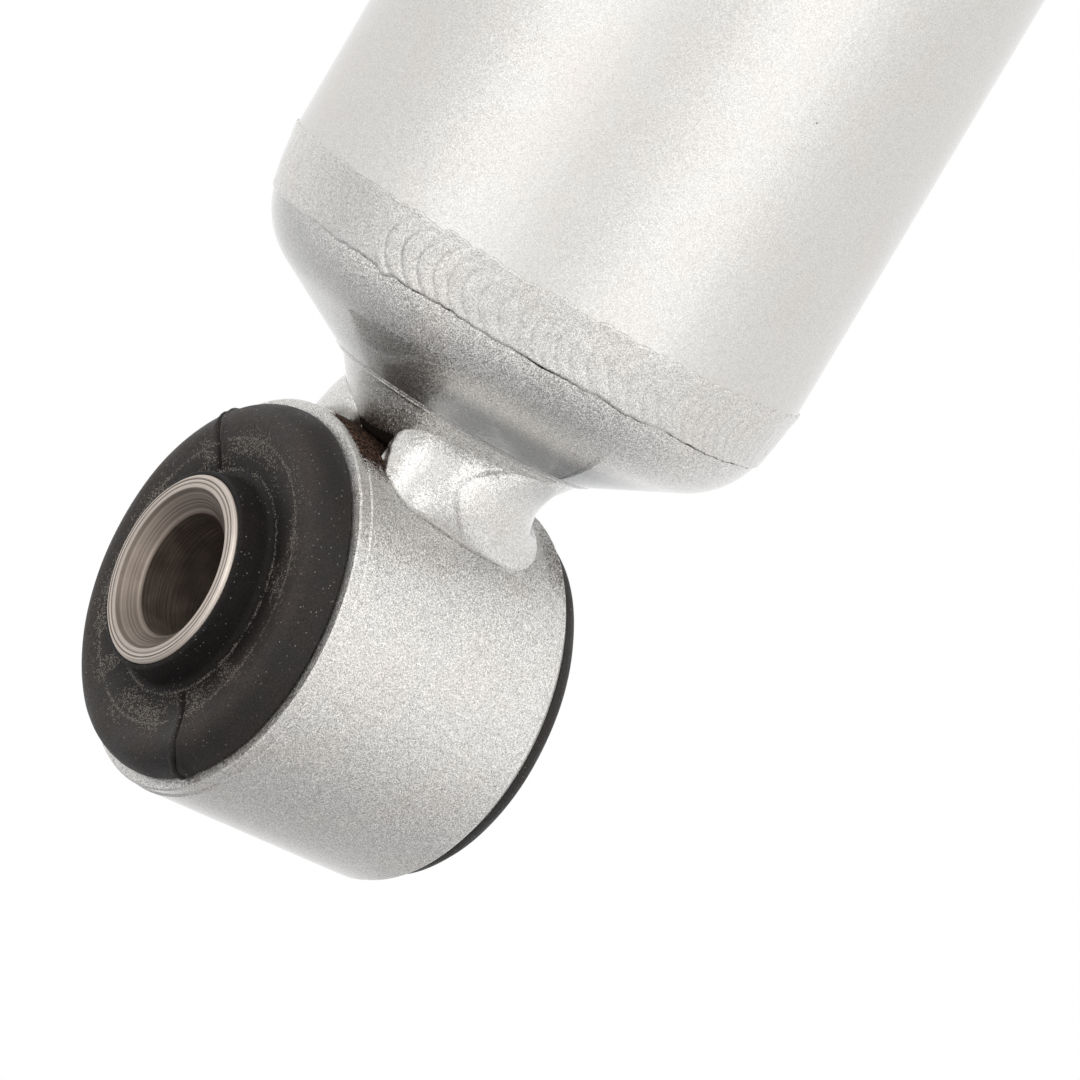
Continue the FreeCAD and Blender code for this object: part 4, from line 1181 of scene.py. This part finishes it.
def round_end(share, length):
    """Rises from 0 like the round end of a bead, and stays at 1."""
    return math.sqrt(1 - (1 - min(share / length, 1.0)) ** 2)


def fullness(share, far_length):
    """1 along the bead, falling to 0 at its two round ends."""
    return round_end(share, NEAR_CLOSING) * round_end(1 - share, far_length)


def bow_at(part):
    """0 at both edges of a bead and 1 in its middle."""
    return 4 * part * (1 - part)


def curve_point(start, middle, end, part):
    """Point of a curve between two points that bends towards a third one."""
    return start * (1 - part) ** 2 + middle * 2 * part * (1 - part) + end * part ** 2


def base_radius_at(height):
    """Radius of the boss and, above its neck, of the cone."""
    if height > NECK_HEIGHT:
        return NECK_RADIUS + (height - NECK_HEIGHT) / math.tan(CONE_SLOPE)
    climb = (height - BOSS_FOOT) / (NECK_HEIGHT - BOSS_FOOT)
    return BOSS_FOOT_RADIUS + (NECK_RADIUS - BOSS_FOOT_RADIUS) * climb


def boss_toe(share, end_turn, extra_climb):
    """Where the bead ends on the boss."""
    turn = BEAD_START_TURN + (end_turn - BEAD_START_TURN) * share
    climb = BOSS_CLIMB + extra_climb * sum(rise(share, *step) for step in BOSS_CLIMB_STEPS) / 2
    height = BOSS_FOOT + climb * fullness(share, BOSS_FAR_CLOSING)
    radius = base_radius_at(height) - BOSS_SINK
    return Vector((radius * math.cos(turn), radius * math.sin(turn), height))


def ring_toe(share):
    """Where the bead ends on the ring."""
    crevice_turn = math.degrees(math.asin(CREVICE_X / EYE_RADIUS))
    full_turn = RING_TOE_TURN + RING_TOE_GAIN * rise(share, *RING_TOE_CHANGE)
    turn = math.radians(crevice_turn + (full_turn - crevice_turn) * fullness(share, RING_FAR_CLOSING))
    along = BEAD_ENDS[0] + BEAD_LENGTH * share
    along += NEAR_END_SETBACK * fall(share, 0.0, NEAR_END_LENGTH)
    reach = EYE_RADIUS - RING_SINK
    return Vector((reach * math.sin(turn), along, reach * math.cos(turn)))


def eye_weld_section(share, end_turn, extra_climb, end_swell):
    """Points of one section of the bead, from the boss to the ring, and its inner point in the crevice."""
    boss = boss_toe(share, end_turn, extra_climb)
    ring = ring_toe(share)
    depth = EYE_RADIUS - CREVICE_DEPTH
    crevice = Vector((CREVICE_X - CREVICE_INSET, CREVICE_SHARE * (boss.y + ring.y), depth))
    swell = START_SWELL + SWELL_GAIN * rise(share, *SWELL_RISE)
    swell += (end_swell - swell) * rise(share, *SWELL_CHANGE)
    outward = Vector((boss.x, boss.y, 0.0)).normalized()
    middle = boss.lerp(ring, SWELL_PLACE) + outward * swell * fullness(share, NEAR_CLOSING)
    parts = [row / BEAD_ROWS for row in range(BEAD_ROWS + 1)]
    return [curve_point(boss, middle, ring, part) for part in parts], crevice


def eye_weld_height(share, part):
    """Height of the bead's overlapping lobes and fine ripples, which bow towards its near end."""
    bow = bow_at(part)
    along = share * BEAD_LENGTH + LOBE_BOW * bow
    lobe = (along / LOBE_PITCH + LOBE_PHASE) % 1.0
    height = LOBE_HEIGHT * rise(lobe, *LOBE_RISE) * (1 - lobe)
    height *= rise(share, *LOBES_START)
    height *= fall(share, *LOBES_END)
    fine = FINE_HEIGHT * (1 - 0.8 * rise(share, *FINE_FADE))
    height += fine * (ripple(along / FINE_PITCH + 0.4 * wobble(share * 5, part * 2)) - RIPPLE_MEAN)
    height += 0.08 * wobble(share * 6, part * 4)
    height *= math.sqrt(bow)
    lip = LIP_HEIGHT * rise(part, *LIP_RISE)
    lip *= fall(part, *LIP_FALL)
    lip *= fall(share, *LIP_END)
    return (height + lip) * fullness(share, NEAR_CLOSING)


def eye_weld_rows(side, *shape):
    """Sections of one bead from end to end; the second bead lies like the first one turned half round."""
    shares = [(1 - math.cos(math.pi * step / BEAD_STEPS)) / 2 for step in range(BEAD_STEPS + 1)]
    sections = [eye_weld_section(share, *shape) for share in shares]
    rows = []
    for step, (section, crevice) in enumerate(sections):
        before = sections[max(step - 1, 0)][0]
        after = sections[min(step + 1, BEAD_STEPS)][0]
        row = []
        for index, point in enumerate(section):
            down = section[min(index + 1, BEAD_ROWS)] - section[max(index - 1, 0)]
            normal = down.cross(after[index] - before[index])
            if normal.dot(Vector((point.x, point.y, 0.0))) < 0:
                normal = -normal
            height = eye_weld_height(shares[step], index / BEAD_ROWS)
            row.append(point + normal.normalized() * height)
        row.append(crevice)
        rows.append([Vector((side * point.x, side * point.y, point.z)) for point in row])
    near_pole = [rows[0][-1]] * len(rows[0])
    far_pole = [rows[-1][-1]] * len(rows[-1])
    return [near_pole, *rows, far_pole]


def bead_grime_and_shade(step, index):
    """Soot and painted crevice shade on the inner edge of a bead and on its two closed ends, which lie in the
    crevice.
    """
    hidden = index > BEAD_ROWS or step < BURIED_STEPS or step > BEAD_STEPS
    return SOOT_AND_SHADE_LEVEL if hidden else 0.0


def bead_shade(step, index):
    """How much painted shade darkens a bead along the upper edge of its far half and along its toe on the
    ring.
    """
    share = step / BEAD_STEPS
    part = index / BEAD_ROWS
    edge = EDGE_SHADE * rise(share, *EDGE_SHADE_START) * fall(part, *EDGE_SHADE_WIDTH)
    toe = TOE_SHADE * rise(part, *TOE_SHADE_EDGE) * fall(share, *LIP_END)
    return max(edge, toe)


def bead_values(rule):
    """A value for each point of a bead, from the numbers of its row and column."""
    return [[rule(step, index) for index in range(BEAD_ROWS + 2)] for step in range(BEAD_STEPS + 3)]


def lower_eye_weld(material):
    """The two beads that hold the eye to the base."""
    for name, shape in BEADS.items():
        values = {"grime_and_shade": bead_values(bead_grime_and_shade)}
        if name == SHADED_BEAD:
            values["shade"] = bead_values(bead_shade)
        rows = eye_weld_rows(*shape)
        mesh_piece(name, "lower_eye_weld", rows, material, wrap_rows=False, values=values)


# Weld between rod and upper eye
ROD_WELD_STEPS = 420
ROD_WELD_ROWS = 24
ROD_WELD_WAVE = 0.25
ROD_WELD_SETBACK = 0.2
ROD_WELD_SINK = 0.5
ROD_WELD_FOOT_ROOT = 0.3
ROD_WELD_TOP_ROOT = 0.4
ROD_WELD_RIM_SINK = 0.05
ROD_WELD_SWELL = Vector((0.75, -0.75))
ROD_RIPPLE_PITCH = 1.3
ROD_RIPPLE_BOW = 1.2
ROD_RIPPLE_DRIFT = 0.5
ROD_RIPPLE_HEIGHT = 0.08
ROD_RIPPLE_WAY = Vector((0.7, -0.7))


def upper_eye_weld(material):
    """Fillet weld around the rod, seated on the ring of the upper eye."""
    rows = [[] for _ in range(ROD_WELD_ROWS + 3)]
    eye = EYE_HEIGHT["upper"]
    buried = ROD_RADIUS - ROD_WELD_SINK
    for angle in even_angles(ROD_WELD_STEPS):
        across = Vector((math.cos(angle), math.sin(angle)))
        reach = ROD_WELD_RADIUS + ROD_WELD_WAVE * wobble_around(across, 3, 4.0)
        foot = ROD_WELD_FOOT + ROD_WELD_SETBACK + ROD_WELD_WAVE * wobble_around(across, 3)
        saddle = eye - math.sqrt(EYE_RADIUS ** 2 - (reach * across.x) ** 2)
        rim = Vector((reach, saddle + ROD_WELD_RIM_SINK))
        toe = Vector((ROD_RADIUS - WELD_SINK, foot))
        bulge = (toe + rim) / 2 + ROD_WELD_SWELL
        drift = ROD_RIPPLE_DRIFT * wobble_around(across, 2, 9.0)
        rows[0].append((across.x * buried, across.y * buried, foot + ROD_WELD_FOOT_ROOT))
        for row in range(ROD_WELD_ROWS + 1):
            part = row / ROD_WELD_ROWS
            bow = bow_at(part)
            phase = (angle * ROD_WELD_RADIUS + ROD_RIPPLE_BOW * bow) / ROD_RIPPLE_PITCH + drift
            point = curve_point(toe, bulge, rim, part)
            point += ROD_RIPPLE_WAY * ROD_RIPPLE_HEIGHT * (ripple(phase) - RIPPLE_MEAN) * bow ** 0.5
            rows[row + 1].append((across.x * point.x, across.y * point.x, point.y))
        inside = eye - math.sqrt(EYE_RADIUS ** 2 - (ROD_RADIUS * across.x) ** 2)
        rows[-1].append((across.x * buried, across.y * buried, inside + ROD_WELD_TOP_ROOT))
    mesh_piece("upper_eye_weld_bead", "upper_eye_weld", rows, material)


def dress(material, *names):
    """Give solids of the frame a material."""
    for name in names:
        mesh = nodes[name].data
        mesh.materials.clear()
        mesh.materials.append(material)


bpy.context.scene.view_settings.view_transform = "Standard"
place_camera()
floor()
world_light()
for lamp_name, lamp_azimuth in SOFTBOX_AZIMUTHS.items():
    softbox(lamp_name, lamp_azimuth)

eye_paint = silver_paint("eye_paint", contrast=0.46, tilt=0.55, roughness=0.50)
base_paint = silver_paint("base_paint", contrast=0.58, tilt=0.51, roughness=0.34)
weld_paint = silver_paint("weld_paint", contrast=0.36, tilt=0.32, roughness=0.46)
bead_paint = silver_paint("bead_paint", contrast=0.40, tilt=0.32, roughness=0.33)
tube_paint = silver_paint("tube_paint", contrast=0.16, tilt=0.25, roughness=0.44)
for eye_end in EYE_HEIGHT:
    eye_ring(eye_end, eye_paint)
    bush(eye_end, bush_rubber(eye_end))
    sleeve(eye_end, sleeve_steel(eye_end))
base(base_paint)
tube(tube_paint)
base_weld(weld_paint)
lower_eye_weld(bead_paint)
upper_eye_weld(bead_paint)

bare_steel = turned_metal("bare_steel", dark=(0.34, 0.34, 0.34), light=(0.58, 0.58, 0.57), roughness=0.34)
alloy = turned_metal("alloy", dark=(0.60, 0.60, 0.61), light=(0.82, 0.82, 0.83), roughness=0.32)
bronze = turned_metal("bearing_bronze", dark=(0.38, 0.25, 0.12), light=(0.62, 0.44, 0.24), roughness=0.3)
dress(rod_chrome(), "piston_rod")
dress(bare_steel, "end_washer", "guide_snap_ring", "rebound_stop", "piston_nut")
dress(bare_steel, "compression_backing_washer", "rebound_backing_washer")
dress(alloy, "floating_piston", "rod_guide")
dress(bronze, "guide_bush")
dress(spring_steel(), "compression_shims", "rebound_shims")
dress(sintered_iron(), "piston")
dress(band_plastic(), "piston_band")
dress(seal_rubber(), "floating_piston_seal", "guide_seal_ring", "rod_seal", "rod_wiper", "rebound_bumper")
